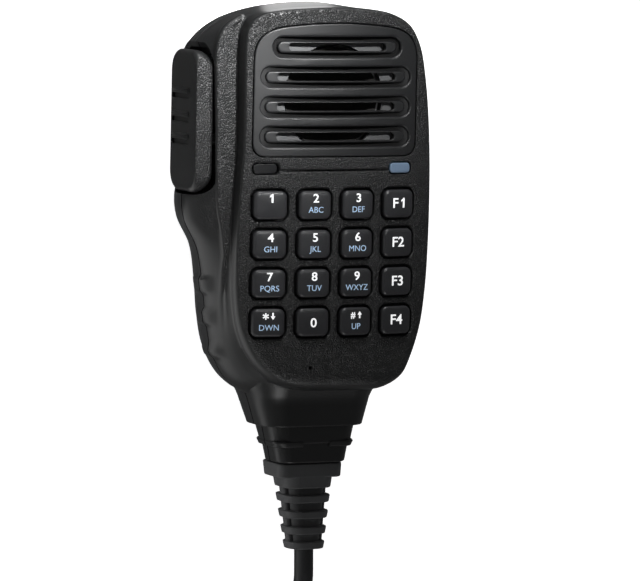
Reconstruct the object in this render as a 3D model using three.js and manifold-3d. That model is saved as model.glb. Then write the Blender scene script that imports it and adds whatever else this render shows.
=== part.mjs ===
// Hand microphone of a mobile radio, with keypad, speaker, push-to-talk key and curly cord.
// Millimetres, +Z up.
// It lies on its back on its hang-up button: +Z is out of the front face, +Y towards the speaker end, and the
// push-to-talk key is on the -X side. Sizes are worked out with the middle of the keypad at x = 0, y = 0, and
// the last section moves everything so that the origin is under the middle of the microphone.
import * as THREE from "three";
import { mergeVertices } from "three/addons/utils/BufferGeometryUtils.js";
import Module from "manifold-3d";

const wasm = await Module();
wasm.setup();

// ---- driving dimensions ----
const GAP = 0.3; // between pieces that touch
const RUNNING = 0.09; // round a pin that a piece turns on
const BACK_Z = 5; // back face of the case, over the hang-up button
const PART_Z = 20; // parting plane of the two shells, and the middle of the neck
const FACE_Z = 36.2; // front face on the centre line
const CEILING_Z = 31.8; // inside of the front wall
const FLOOR_Z = 7.2; // inside of the back wall
const CROWN_R = 140; // the front face is crowned across its width
const WALL = 2.6;
const SHOULDER_Z = 29.3; // ledge beside the push-to-talk key
const COLUMN_PITCH = 12;
const ROW_PITCH = 10;
const KEY = { w: 8.8, h: 7.2, r: 1.7, proud: 0.8 };
const SPEAKER = { y: 42, r: 16 };
const PANEL = { halfWidth: 22.9, bottom: 27.3, top: 61.2, floor: 33 };
const SLOT = { h: 5.2, islandH: 3, openH: 2.1, pitch: 7.6, lowest: 32.35 };
const INDICATOR = { x: 18.4, y: 24.2, w: 6.1, h: 2.6 };
const PTT = { y0: 17.6, y1: 53.8, z0: 11.4, z1: 28, outer: -36, inner: -30.8 };
const PTT_RIBS = { y: [43.4, 37.4, 31.7], w: 1.5, z0: 12.7, z1: 23.3, proud: 0.4 };
const PTT_PIN = { x: -29.6, y: 50.6, r: 0.9 };
const PTT_POST_Y = 31;
const MIC = { x: -6.3, y: -26.7 };
const BUTTON = { y: 18, r: 7.5, flange: 2, neckR: 4.2 };
const CASE_SCREWS = [
  [-17.5, 55],
  [17.5, 55],
  [-16.5, -24],
  [16.5, -24],
];
const BOARD_SCREWS = [
  [6, 23.2],
  [8, -26.5],
];
const BOARD = { z0: 25.8, z1: 27.4 };
const NECK_END = -52.5;
const BOOT_END = -75.3;
const CORD_R = 2.5;
const CURLY_R = 7.5;
const CURLY_Z = 9.2;
const CURLY_X = [-22, 2]; // the two runs of the folded curly cord
const CURLY_Y = [-134.4, -236];
const TIE_Y = [-190, -181];
const PLUG = { x: 28, z: 3.5, w: 11.7, h: 6.6, back: -156.6, nose: -178 };

// ---- materials ----
const material = (color, roughness, metalness = 0) =>
  new THREE.MeshStandardMaterial({ color, roughness, metalness });
const GRAINED = material(0x1d1e20, 0.7);
const SATIN = material(0x202124, 0.45);
const KEYCAP = material(0x2b2c2f, 0.5);
const RUBBER = material(0x17181a, 0.8);
const FOAM = material(0x8d9094, 0.9);
const LENS = material(0x6f86a3, 0.2);
const STEEL = material(0xa9adb2, 0.35, 1);
const BRASS = material(0xc9a75a, 0.35, 1);
const BOARD_GREEN = material(0x1f5a3a, 0.5);
const WHITE_PLASTIC = material(0xdcdcd6, 0.5);
const PAPER = material(0x2c2a28, 0.9);
const CLEAR = material(0xc8d0d4, 0.15);

// ---- shapes and solids ----
function solid(geometry) {
  const plain = geometry.clone();
  plain.deleteAttribute("normal");
  plain.deleteAttribute("uv");
  const merged = mergeVertices(plain, 1e-4);
  return new wasm.Manifold(
    new wasm.Mesh({
      numProp: 3,
      vertProperties: new Float32Array(merged.attributes.position.array),
      triVerts: new Uint32Array(merged.index.array),
    }),
  );
}

function geometryOf(body) {
  const mesh = body.getMesh();
  return new THREE.BufferGeometry()
    .setAttribute("position", new THREE.BufferAttribute(new Float32Array(mesh.vertProperties), 3))
    .setIndex(new THREE.BufferAttribute(new Uint32Array(mesh.triVerts), 1));
}

// An arc gets twice this many segments.
function extrude(shape, z0, z1, segments = 3) {
  const geometry = new THREE.ExtrudeGeometry(shape, {
    depth: z1 - z0,
    bevelEnabled: false,
    curveSegments: segments,
  });
  return solid(geometry.translate(0, 0, z0));
}

function box(x0, x1, y0, y1, z0, z1) {
  const geometry = new THREE.BoxGeometry(x1 - x0, y1 - y0, z1 - z0);
  return solid(geometry.translate((x0 + x1) / 2, (y0 + y1) / 2, (z0 + z1) / 2));
}

// A solid of revolution about a line along Z through (x, y), from [radius, z] pairs that start and end on it.
function turned(profile, x, y, segments = 20) {
  const points = profile.map(([r, z]) => new THREE.Vector2(r, z));
  return solid(new THREE.LatheGeometry(points, segments).rotateX(Math.PI / 2).translate(x, y, 0));
}

const rod = (r, z0, z1, x, y, segments = 12) =>
  turned([[0, z0], [r, z0], [r, z1], [0, z1]], x, y, segments);

const tube = (outer, inner, z0, z1, x, y, segments = 14) =>
  turned([[inner, z0], [outer, z0], [outer, z1], [inner, z1], [inner, z0]], x, y, segments);

// A rod along Y.
const rodAlongY = (r, y0, y1, x, z, segments = 16) =>
  rod(r, y0, y1, 0, 0, segments).rotate([90, 0, 0]).mirror([0, 1, 0]).translate([x, 0, z]);

// A solid made along Z, turned to lie along X.
const alongX = (body, y, z) => body.rotate([0, 90, 0]).translate([0, y, z]);

function roundedRect(w, h, r, x = 0, y = 0) {
  const shape = new THREE.Shape();
  const [a, b] = [w / 2 - r, h / 2 - r];
  shape.absarc(x + a, y + b, r, 0, Math.PI / 2);
  shape.absarc(x - a, y + b, r, Math.PI / 2, Math.PI);
  shape.absarc(x - a, y - b, r, Math.PI, 1.5 * Math.PI);
  shape.absarc(x + a, y - b, r, 1.5 * Math.PI, 2 * Math.PI);
  return shape;
}

// Evenly spread points on the smooth closed curve through some [x, y] points.
function smooth(points, count) {
  const curve = new THREE.CatmullRomCurve3(
    points.map(([x, y]) => new THREE.Vector3(x, y, 0)),
    true,
    "centripetal",
  );
  return Array.from({ length: count }, (_, i) => {
    const p = curve.getPoint(i / count);
    return new THREE.Vector2(p.x, p.y);
  });
}

// The same closed line with each point moved towards the middle of the case.
function inset(line, by) {
  const middle = new THREE.Vector2(0, 15);
  return line.map((p) => p.clone().sub(middle).setLength(p.distanceTo(middle) - by).add(middle));
}

// A closed solid through anticlockwise lines of equal length, given as [line, z] from the bottom up.
function loft(levels) {
  const count = levels[0][0].length;
  const positions = levels.flatMap(([line, z]) => line.flatMap((p) => [p.x, p.y, z]));
  const index = [];
  for (let k = 0; k < levels.length - 1; k++)
    for (let i = 0; i < count; i++) {
      const [a, b] = [k * count + i, k * count + ((i + 1) % count)];
      index.push(a, b, b + count, a, b + count, a + count);
    }
  const last = (levels.length - 1) * count;
  for (const [a, b, c] of THREE.ShapeUtils.triangulateShape(levels[0][0], [])) index.push(c, b, a);
  for (const [a, b, c] of THREE.ShapeUtils.triangulateShape(levels.at(-1)[0], []))
    index.push(last + a, last + b, last + c);
  const geometry = new THREE.BufferGeometry();
  geometry.setAttribute("position", new THREE.Float32BufferAttribute(positions, 3));
  return solid(geometry.setIndex(index));
}

// The points of a rounded rectangle, each once.
function rectLine(w, h, r, corner, x = 0, y = 0) {
  const line = roundedRect(w, h, r, x, y).getPoints(corner).slice(0, -1);
  return line.filter((p, i) => p.distanceTo(line[(i + 1) % line.length]) > 1e-4);
}

// A loft along -Y through rounded rectangles {y, w, h, r, z} that stand across it with their middle at z.
function loftAlongY(sections, corner = 1) {
  const levels = sections.map(({ y, w, h, r, z = PART_Z }) => [rectLine(w, h, r, corner, 0, z), -y]);
  return loft(levels).rotate([90, 0, 0]);
}

const crownUnder = (rise) => {
  const top = FACE_Z + rise;
  const profile = new THREE.Shape();
  const reach = 45;
  const half = Math.asin(reach / CROWN_R);
  profile.moveTo(-reach, 0);
  profile.lineTo(reach, 0);
  profile.absarc(0, top - CROWN_R, CROWN_R, Math.PI / 2 - half, Math.PI / 2 + half);
  return extrude(profile, -80, 80, 5).rotate([90, 0, 0]);
};

// ---- outlines of the case, anticlockwise from the middle of the top end ----
const WAIST_LINE = [
  [0, 66.3], [-10, 65.8], [-18.2, 64.4], [-25.2, 62.1], [-30.3, 58.8], [-33.6, 54.5], [-34.3, 48],
  [-33.8, 36], [-34.2, 24], [-36, 16.6], [-35.3, 10.5], [-31.6, 3], [-29.8, -6.5], [-28.6, -16],
  [-26.6, -24.4], [-22.6, -31], [-16, -35], [-8, -36], [0, -36.2], [8, -36], [16, -34.6],
  [22.6, -30], [26.8, -22], [28.6, -10], [29.2, 3], [29.6, 15], [30, 27], [30, 38], [29.5, 48],
  [27.2, 55.4], [22.8, 60.4], [16.5, 63.2], [9, 65],
];
const LEDGE_LINE = [
  [0, 65.6], [-10, 65.4], [-17, 64.9], [-22.6, 63.6], [-26.7, 61.8], [-29.7, 59.3], [-31.2, 55.2],
  [-31.2, 45], [-30.8, 34], [-30.6, 24], [-30, 14], [-28.8, 8], [-27.9, 1], [-27.3, -8], [-25.8, -16.5],
  [-22.6, -24], [-18.6, -29], [-13.6, -32.6], [-7.2, -34.2], [0, -34.6], [7.4, -34.4], [15, -33.6],
  [20.9, -30.4], [24.2, -24.6], [26.6, -16.5], [27.8, -7], [28.2, 3], [28.4, 15], [28.3, 27],
  [27.6, 38], [26.6, 47], [24.8, 55.2], [21.6, 60.8], [16, 63.8], [9, 65.1],
];
const FACE_LINE = [
  [0, 65.3], [-9, 65], [-15.5, 64.5], [-20.2, 63.6], [-23.2, 61.9], [-24.7, 59.3], [-25.2, 55],
  [-25.2, 47], [-25.1, 38], [-25.2, 28], [-25.8, 18], [-26.3, 9], [-26.5, 0], [-26.2, -9],
  [-24.8, -17], [-21.6, -24], [-17.6, -28.6], [-12.8, -31.6], [-6.8, -33], [0, -33.3], [7.2, -33.2],
  [15.2, -32.7], [20.7, -29.6], [23.6, -24.2], [26, -16.5], [27.3, -7], [27.8, 3], [28, 15],
  [27.8, 27], [27.1, 38], [26, 47], [24.2, 55.2], [20.9, 60.7], [15.5, 63.6], [8.5, 64.9],
];
const OUTLINE_POINTS = 48;
const waist = smooth(WAIST_LINE, OUTLINE_POINTS);
const ledge = smooth(LEDGE_LINE, OUTLINE_POINTS);
const face = smooth(FACE_LINE, OUTLINE_POINTS);

// The neck leans: z is the height of each section's middle.
const NECK = [
  { y: -26, w: 38, h: 25, r: 6, z: 18.6 },
  { y: -31, w: 37.4, h: 24.6, r: 6, z: 18.6 },
  { y: -34.5, w: 34.4, h: 22.5, r: 5, z: 18.6 },
  { y: -37.4, w: 32.2, h: 20.6, r: 4.6, z: 18.8 },
  { y: -42.9, w: 29, h: 18.4, r: 4.2, z: 19.6 },
  { y: -43.3, w: 24.6, h: 15.4, r: 3.4, z: 19.6 },
  { y: -47.5, w: 22.8, h: 14.6, r: 3.2, z: 20.1 },
  { y: -48.4, w: 21.2, h: 13.6, r: 3, z: 20.2 },
  { y: NECK_END, w: 19.6, h: 13, r: 2.8, z: 20.4 },
];

function panelShape(grow = 0) {
  const [w, y0, y1] = [PANEL.halfWidth + grow, PANEL.bottom - grow, PANEL.top + grow];
  const shape = new THREE.Shape();
  shape.moveTo(-w + 3.6, y0);
  shape.lineTo(w - 3.6, y0);
  shape.quadraticCurveTo(w, y0, w, y0 + 3.6);
  shape.lineTo(w, 51.5);
  shape.bezierCurveTo(w, 57, w - 2.6, y1 - 1.8, w - 8, y1 - 1);
  shape.quadraticCurveTo(0, y1 + 1, -w + 8, y1 - 1);
  shape.bezierCurveTo(-w + 2.6, y1 - 1.8, -w, 57, -w, 51.5);
  shape.lineTo(-w, y0 + 3.6);
  shape.quadraticCurveTo(-w, y0, -w + 3.6, y0);
  return shape;
}

const union = (bodies) => bodies.reduce((a, b) => a.add(b));
const without = (body, ...cuts) => cuts.reduce((a, b) => a.subtract(b), body);

// ---- the case, whole, before it is cut at the parting plane ----
function makeCaseOutside() {
  const lower = loft([
    [inset(waist, 9), BACK_Z],
    [inset(waist, 6), BACK_Z + 0.8],
    [inset(waist, 3), BACK_Z + 3],
    [inset(waist, 1), BACK_Z + 7],
    [waist, PART_Z],
    [ledge.map((p, i) => p.clone().lerp(waist[i], 0.55)), SHOULDER_Z - 4.5],
    [ledge, SHOULDER_Z - 1.2],
    [inset(ledge, 1.2), SHOULDER_Z],
  ]);
  const upper = loft([
    [face, SHOULDER_Z - 3],
    [face, FACE_Z - 3],
    [inset(face, 0.5), FACE_Z - 1.6],
    [inset(face, 1.4), FACE_Z + 0.1],
  ]);
  return union([lower, upper, loftAlongY(NECK)]).intersect(crownUnder(0));
}

function caseInside() {
  const room = loft([
    [inset(waist, 9.6), FLOOR_Z],
    [inset(waist, 5.4), FLOOR_Z + 3],
    [inset(ledge, WALL), FLOOR_Z + 7],
    [inset(ledge, WALL), SHOULDER_Z - 1.5],
    [inset(ledge, WALL + 1), CEILING_Z],
  ]);
  const hollow = without(
    room,
    box(-40, -25.6, 12, 60, 0, 40),
    box(-40, -23.7, 2, 70, SHOULDER_Z - 2.4, 40),
    box(-40, -21.9, 22, 70, SHOULDER_Z - 2.4, 40),
    box(-40, -18.4, 55, 70, SHOULDER_Z - 2.4, 40),
  );
  const neckRoom = box(-10.5, 10.5, -41, -28, 13.6, 26.4);
  const keyRoom = extrude(roundedRect(47, 39.6, 1.2), 28.2, CEILING_Z);
  return union([hollow, neckRoom, keyRoom]);
}

function pttPocket() {
  const [length, depth] = [PTT.y1 - PTT.y0 + 1.2, PTT.z1 - PTT.z0 + 1];
  const opening = extrude(roundedRect(depth, length, 4.6), -44, -27.8, 2);
  const pocket = alongX(opening, (PTT.y0 + PTT.y1) / 2, (PTT.z0 + PTT.z1) / 2 - 0.1);
  // The upper part of the pocket flares out into a lip.
  const lipLength = 20;
  const lipLine = (grow) => rectLine(depth + grow, lipLength + grow, 4.6, 2, 0, grow / 2);
  const lip = alongX(
    loft([[lipLine(5), -46], [lipLine(2.2), -33.4], [lipLine(0.9), -31.4], [lipLine(0), -30.2]]),
    PTT.y1 + 0.6 - lipLength / 2,
    (PTT.z0 + PTT.z1) / 2 - 0.1,
  );
  const passage = box(-28, -25, PTT_POST_Y - 2.3, PTT_POST_Y + 2.3, PART_Z - 2.3, PART_Z + 2.3);
  const pinHole = rod(PTT_PIN.r + RUNNING, PTT.z0 - 2.2, PTT.z0, PTT_PIN.x, PTT_PIN.y);
  return union([pocket, lip, passage, pinHole]);
}

// What the strain relief passes through at the end of the neck.
function bootPassage() {
  const hole = loftAlongY([
    { y: -40, w: 10.2, h: 9.8, r: 2 },
    { y: NECK_END - 1, w: 10.2, h: 9.8, r: 2 },
  ]);
  return hole.add(box(-8.2, 8.2, -47, -44, PART_Z - 5.2, PART_Z + 5.2));
}

const caseOutside = makeCaseOutside();
const shellBlank = without(caseOutside, caseInside(), pttPocket(), bootPassage());

// ---- keys ----
const KEY_NAMES = [
  ["key_1", "key_2", "key_3", "key_f1"],
  ["key_4", "key_5", "key_6", "key_f2"],
  ["key_7", "key_8", "key_9", "key_f3"],
  ["key_star", "key_0", "key_hash", "key_f4"],
];
const keyPlaces = KEY_NAMES.flatMap((names, row) =>
  names.map((name, column) => ({
    name,
    x: (column - 1.5) * COLUMN_PITCH,
    y: (1.5 - row) * ROW_PITCH,
  })),
);

function key({ x, y }) {
  const cap = extrude(roundedRect(KEY.w, KEY.h, KEY.r, x, y), 31, FACE_Z + 2, 1);
  const shaped = cap.intersect(crownUnder(KEY.proud));
  const flange = box(x - 5.2, x + 5.2, y - 4.4, y + 4.4, 30.7, 31.5);
  const stem = rod(1.6, 29.7, 31, x, y, 6);
  return union([shaped, flange, stem]);
}

// ---- front shell ----
function frontShell() {
  const posts = CASE_SCREWS.map(([x, y]) => rod(3, PART_Z + GAP, CEILING_Z + 0.5, x, y));
  const boardPosts = BOARD_SCREWS.map(([x, y]) => rod(2.3, BOARD.z1 + GAP, CEILING_Z + 0.5, x, y));
  const keyHoles = keyPlaces.map(({ x, y }) =>
    extrude(roundedRect(KEY.w + 1, KEY.h + 1, KEY.r + 0.5, x, y), CEILING_Z - 1, FACE_Z + 2, 1),
  );
  const cuts = [
    extrude(panelShape(0.15), PANEL.floor, FACE_Z + 2, 4),
    extrude(roundedRect(39, 30, 3, 0, 44), CEILING_Z - 1, PANEL.floor + 1),
    extrude(roundedRect(INDICATOR.w + 0.6, INDICATOR.h + 0.6, 1.2, INDICATOR.x, INDICATOR.y), 30, 40, 3),
    extrude(roundedRect(7.3, 3.2, 1.5, -INDICATOR.x - 0.8, INDICATOR.y), PANEL.floor, 40, 3),
    rod(0.6, 30, 40, MIC.x, MIC.y, 10),
    ...keyHoles,
    ...CASE_SCREWS.map(([x, y]) => rod(1.6, PART_Z, CEILING_Z - 2.5, x, y)),
    ...BOARD_SCREWS.map(([x, y]) => rod(1.2, BOARD.z1, CEILING_Z + 0.6, x, y)),
  ];
  const half = shellBlank.intersect(box(-50, 50, -60, 80, PART_Z + GAP / 2, 50));
  return without(union([half, ...posts, ...boardPosts]), ...cuts);
}

// ---- rear shell ----
function rearShell() {
  const posts = CASE_SCREWS.map(([x, y]) => rod(4.4, BACK_Z + 1.6, PART_Z - GAP / 2, x, y));
  const cuts = [
    ...CASE_SCREWS.map(([x, y]) => rod(3.1, BACK_Z - 1, BACK_Z + 4.4, x, y)),
    ...CASE_SCREWS.map(([x, y]) => rod(1.7, BACK_Z, PART_Z + 1, x, y)),
    rod(1.7, BACK_Z - 1, FLOOR_Z + 1, 0, BUTTON.y),
  ];
  const half = shellBlank.intersect(box(-50, 50, -60, 80, 0, PART_Z - GAP / 2));
  return without(union([half, ...posts]).intersect(caseOutside), ...cuts);
}

// ---- grille panel with four slots ----
const slotRows = [0, 1, 2, 3].map((row) => ({
  y: SLOT.lowest + row * SLOT.pitch,
  half: row === 3 ? 17.9 : 20.9,
}));

function grillePanel() {
  const plate = extrude(panelShape(-0.05), PANEL.floor + GAP, FACE_Z + 2, 4).intersect(crownUnder(0));
  const moats = slotRows.map(({ y, half }) => {
    const moat = extrude(roundedRect(2 * half, SLOT.h, SLOT.h / 2 - 0.01, 0, y), 34.6, 40, 2);
    const island = extrude(
      roundedRect(2 * half - 2.4, SLOT.islandH, SLOT.islandH / 2 - 0.01, 0, y), 30, 40, 2,
    );
    return moat.subtract(island.intersect(crownUnder(-0.5)));
  });
  const through = slotRows.map(({ y, half }) =>
    extrude(roundedRect(2 * half - 8.6, SLOT.openH, SLOT.openH / 2 - 0.01, 0, y), 30, 40, 1),
  );
  return without(plate, ...moats, ...through);
}

// ---- speaker ----
function speakerGasket() {
  const sheet = extrude(roundedRect(38.4, 29.4, 2.6, 0, 44), 32.1, 33);
  return sheet.subtract(rod(14, 30, 40, 0, SPEAKER.y, 20));
}

const speakerBasket = () =>
  turned(
    [
      [6, 27.5], [9, 27.5], [14.6, 30], [SPEAKER.r, 30], [SPEAKER.r, 31.5], [14.4, 31.5],
      [13.9, 30.7], [8.6, 28.4], [6, 28.4], [6, 27.5],
    ],
    0, SPEAKER.y, 20,
  );

const speakerCone = () =>
  turned(
    [[0, 29.2], [4, 29.2], [8.3, 29], [13.2, 31], [13.2, 31.5], [8, 29.6], [4, 30.6], [0, 31]],
    0, SPEAKER.y, 16,
  );

const speakerMagnet = () =>
  turned([[0, 23.6], [9.5, 23.6], [9.5, 27.2], [5.6, 27.2], [5.6, 28.6], [0, 28.6]], 0, SPEAKER.y, 16);

// ---- indicator, blank window, board and keypad web ----
function indicatorLens() {
  const lens = extrude(roundedRect(INDICATOR.w, INDICATOR.h, 1, INDICATOR.x, INDICATOR.y), 32.4, 40, 2);
  const pipe = rod(1, 29.5, 33, INDICATOR.x, INDICATOR.y, 12);
  return lens.intersect(crownUnder(0.15)).add(pipe);
}

const indicatorLed = () =>
  box(INDICATOR.x - 1.6, INDICATOR.x + 1.6, INDICATOR.y - 0.9, INDICATOR.y + 0.9, 27.7, 29.1);

const blankWindow = () =>
  extrude(roundedRect(6.5, 2.5, 1.2, -INDICATOR.x - 0.8, INDICATOR.y), PANEL.floor + GAP, 34.2, 3);

function circuitBoard() {
  const outline = extrude(roundedRect(46, 56, 2, 1.6, -2.4), BOARD.z0, BOARD.z1, 2);
  const room = loft([[inset(ledge, WALL + 0.8), BOARD.z0 - 1], [inset(ledge, WALL + 0.8), BOARD.z1 + 1]]);
  const holes = [
    ...CASE_SCREWS.map(([x, y]) => rod(3.5, 20, 30, x, y)),
    ...BOARD_SCREWS.map(([x, y]) => rod(1.2, 20, 30, x, y, 12)),
  ];
  return without(outline.intersect(room), ...holes);
}

const keypadWeb = () => extrude(roundedRect(43, 40.5, 2, 0.6, 0), BOARD.z1 + GAP, 28.5, 2);

// ---- push-to-talk ----
function pttKey() {
  const [length, depth] = [PTT.y1 - PTT.y0, PTT.z1 - PTT.z0];
  const [y, z] = [(PTT.y0 + PTT.y1) / 2, (PTT.z0 + PTT.z1) / 2];
  const level = (lessY, lessZ, r) => rectLine(length - lessY, depth - lessZ, r, 3);
  const block = loft([
    [level(0, 0, 4.4), PTT.inner],
    [level(0, 0, 4.4), PTT.inner - 3.2],
    [level(1.4, 1, 4), PTT.inner - 4.4],
    [level(3.4, 2.2, 3.6), PTT.outer],
  ].map(([line, x]) => [line, -x])).rotate([90, 0, 0]).rotate([0, 0, 90]);
  const cap = block.mirror([1, 0, 0]).translate([0, y, z]);
  const eye = box(-31.2, -28.3, PTT_PIN.y - 1.7, PTT_PIN.y + 1.7, 13.4, 26);
  const post = box(-31.2, -27.1, PTT_POST_Y - 1.4, PTT_POST_Y + 1.4, PART_Z - 1.4, PART_Z + 1.4);
  const ribs = PTT_RIBS.y.map((ribY) => {
    const [low, high] = [ribY - PTT_RIBS.w / 2, ribY + PTT_RIBS.w / 2];
    return box(PTT.outer - PTT_RIBS.proud, PTT.outer + 0.6, low, high, PTT_RIBS.z0, PTT_RIBS.z1);
  });
  const bore = rod(PTT_PIN.r + RUNNING, 5, 35, PTT_PIN.x, PTT_PIN.y);
  return without(union([cap, eye, post, ...ribs]), bore);
}

const pttPin = () => rod(PTT_PIN.r, PTT.z0 - 1.9, PTT.z1 + 0.1, PTT_PIN.x, PTT_PIN.y);

function pttPlunger() {
  return alongX(rod(1.5, -26.8, -22.6, 0, 0, 14), PTT_POST_Y, PART_Z);
}

function pttSwitch() {
  const body = box(-24.1, -19.6, PTT_POST_Y - 3.4, PTT_POST_Y + 3.4, PART_Z - 3.4, PART_Z + 3.4);
  return body.subtract(alongX(rod(1.8, -25, -20.9, 0, 0, 14), PTT_POST_Y, PART_Z));
}

const pttBoard = () => box(-19.3, -17.9, 20, 40, 13, 23.2);

// ---- microphone capsule ----
const micCapsule = () => turned([[0, 28.6], [3, 28.6], [3, 31.2], [0, 31.2]], MIC.x, MIC.y);
const micGrommet = () => tube(4, 3 + GAP, 28.4, 31.4, MIC.x, MIC.y);

// ---- fasteners and hang-up button ----
const caseScrew = ([x, y]) =>
  turned([[0, 6.8], [2.8, 6.8], [2.8, 9.1], [1.3, 9.1], [1.3, 27.5], [0, 28.5]], x, y, 10);
const boardScrew = ([x, y]) =>
  turned([[0, 24], [1.9, 24], [1.9, 25.5], [0.85, 25.5], [0.85, 31.2], [0, 31.6]], x, y, 8);

const hangerButton = () =>
  turned(
    [
      [0, 0], [BUTTON.r - 0.6, 0], [BUTTON.r, 0.6], [BUTTON.r, BUTTON.flange - 0.4],
      [BUTTON.r - 0.4, BUTTON.flange], [BUTTON.neckR, BUTTON.flange], [BUTTON.neckR, BACK_Z - GAP],
      [1.7, BACK_Z - GAP], [1.7, 1.2], [0, 1.2],
    ],
    0, BUTTON.y, 20,
  );
const hangerScrew = () =>
  turned([[0, 1.6], [1.4, 1.6], [1.4, 7.5], [3, 7.5], [3, 9.2], [0, 9.6]], 0, BUTTON.y, 10);

// ---- strain relief, clamp and the cord inside ----
function cordBoot() {
  const ribs = [-59.4, -63.2, -67.3, -71.4, BOOT_END];
  const width = (y) => 13.8 + ((y + 57) * 3.7) / 18.3;
  const rib = (y, thick) =>
    loftAlongY([
      { y: y + thick, w: width(y + thick), h: width(y + thick) - 1.7, r: 3 },
      { y, w: width(y), h: width(y) - 1.7, r: 3 },
    ]);
  const parts = [
    loftAlongY([
      { y: -44.3, w: 9.5, h: 9.1, r: 1.8 },
      { y: NECK_END - GAP, w: 9.5, h: 9.1, r: 1.8 },
    ]),
    box(-7.8, 7.8, -46.7, -44.3, PART_Z - 4.8, PART_Z + 4.8),
    loftAlongY([
      { y: NECK_END - GAP, w: 18.4, h: 12.8, r: 2 },
      { y: -56.6, w: 18, h: 12.4, r: 2 },
    ]),
    loftAlongY([
      { y: -56, w: 10, h: 8.4, r: 3 },
      { y: BOOT_END + 0.5, w: 7.2, h: 6.9, r: 3 },
    ]),
    loftAlongY([
      { y: -56, w: 13.2, h: 4.2, r: 1 },
      { y: BOOT_END + 0.5, w: 9.6, h: 3.4, r: 1 },
    ]),
    rib(ribs[0], 3),
    ...ribs.slice(1).map((y) => rib(y, 2)),
  ];
  return union(parts).subtract(rodAlongY(CORD_R + GAP, -80, -40, 0, PART_Z, 12));
}

const cordInner = () => rodAlongY(CORD_R, BOOT_END, -33, 0, PART_Z, 16);

function cordClamp() {
  const block = box(-7, 7, -40.6, -36, PART_Z + 0.4, PART_Z + 5);
  return block.subtract(rodAlongY(CORD_R + GAP, -45, -30, 0, PART_Z, 16));
}

const cordHeader = () => box(-5, 5, -30, -25.4, 20.6, BOARD.z0 - GAP);

// ---- cord ----
const TAIL_ROUTE = [
  [0, -75.6, 20], [0, -80, 20], [0, -86, 19.6], [-1.5, -94, 17.9], [-5, -103, 14.9],
  [-11, -111.5, 11.8], [-17, -119.5, 9.8], [-21, -126, 9.2], [-22, -130.5, 9.2], [-22, -134, 9.2],
];
const PLUG_ROUTE = [
  [2, -134, 9.2], [2, -130.5, 9.2], [2, -127, 8.7], [3.5, -121, 7.2], [8.5, -116, 5.6],
  [15, -114, 4.4], [21.5, -116, 3.8], [26.5, -121, 3.5], [28, -128, 3.5], [28, -136, 3.5], [28, -143, 3.5],
];

// A closed tube of round section along a smooth route.
function tubeAlong(route, r, steps, sides) {
  const section = new THREE.Shape();
  section.absarc(0, 0, r, 0, 2 * Math.PI);
  const geometry = new THREE.ExtrudeGeometry(section, {
    steps,
    curveSegments: sides / 2,
    extrudePath: new THREE.CatmullRomCurve3(route.map((p) => new THREE.Vector3(...p))),
  });
  return solid(geometry);
}

function curlyCord() {
  const [left, right] = CURLY_X;
  const [near, far] = CURLY_Y;
  const fold = (right - left) / 2;
  const path = new THREE.CurvePath();
  const at = (x, y) => new THREE.Vector3(x, y, CURLY_Z);
  path.add(new THREE.LineCurve3(at(left, near), at(left, far)));
  const turn = Array.from({ length: 9 }, (_, i) => {
    const angle = Math.PI + (i * Math.PI) / 8;
    return at(left + fold + fold * Math.cos(angle), far + fold * Math.sin(angle));
  });
  path.add(new THREE.CatmullRomCurve3(turn));
  path.add(new THREE.LineCurve3(at(right, far), at(right, near)));
  const section = new THREE.Shape();
  section.absarc(0, 0, CURLY_R, 0, 2 * Math.PI);
  return solid(new THREE.ExtrudeGeometry(section, { steps: 24, curveSegments: 5, extrudePath: path }));
}

function cordTie() {
  const [left, right] = CURLY_X;
  const width = right - left + 2 * CURLY_R;
  const loop = (grow) =>
    extrude(
      roundedRect(width + grow, 2 * CURLY_R + grow, CURLY_R + grow / 2 - 0.1, (left + right) / 2, CURLY_Z),
      TIE_Y[0] - grow, TIE_Y[1] + grow,
    );
  const ring = loop(2.6).intersect(box(-60, 60, -60, 60, ...TIE_Y)).subtract(loop(0.8));
  return ring.mirror([0, 0, 1]).rotate([90, 0, 0]);
}

// ---- modular plug ----
const plugTop = PLUG.z - 0.1 + PLUG.h / 2;
const plugBottom = plugTop - PLUG.h;

const plugBoot = () =>
  loftAlongY([
    { y: -143.3, w: 6.2, h: 6, r: 2.7, z: PLUG.z },
    { y: PLUG.back + GAP, w: 8, h: 6.2, r: 2, z: PLUG.z },
  ]).translate([PLUG.x, 0, 0]);

function plugBody() {
  const block = box(PLUG.x - PLUG.w / 2, PLUG.x + PLUG.w / 2, PLUG.nose, PLUG.back, plugBottom, plugTop);
  const well = box(PLUG.x - 4.7, PLUG.x + 4.7, PLUG.nose - 1, PLUG.nose + 6.4, 0, plugBottom + 2.2);
  return block.subtract(well);
}

function plugContacts() {
  const [tip, root] = [PLUG.nose + 0.6, PLUG.nose + 6];
  const bar = box(PLUG.x - 4.2, PLUG.x + 4.2, tip, root, plugBottom + 1.2, plugBottom + 1.9);
  const blades = Array.from({ length: 8 }, (_, i) => {
    const x = PLUG.x + (i - 3.5) * 1.02;
    return box(x - 0.25, x + 0.25, tip, root, plugBottom + 0.5, plugBottom + 1.3);
  });
  return union([bar, ...blades]);
}

function plugLatch() {
  const profile = new THREE.Shape();
  const [tip, base, top] = [PLUG.nose + 1, PLUG.back - 2, plugTop + GAP];
  profile.moveTo(tip, top);
  profile.lineTo(tip + 2, top);
  profile.lineTo(base, top + 2.6);
  profile.lineTo(base, top + 3.6);
  profile.lineTo(tip + 5, top + 1.7);
  profile.lineTo(tip, top + 1);
  const arm = extrude(profile, -1.6, 1.6).rotate([90, 0, 0]).rotate([0, 0, 90]);
  const shoulder = box(-3.1, 3.1, tip + 3, tip + 5, top + 1, top + 1.9);
  return arm.add(shoulder).translate([PLUG.x, 0, 0]);
}

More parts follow.
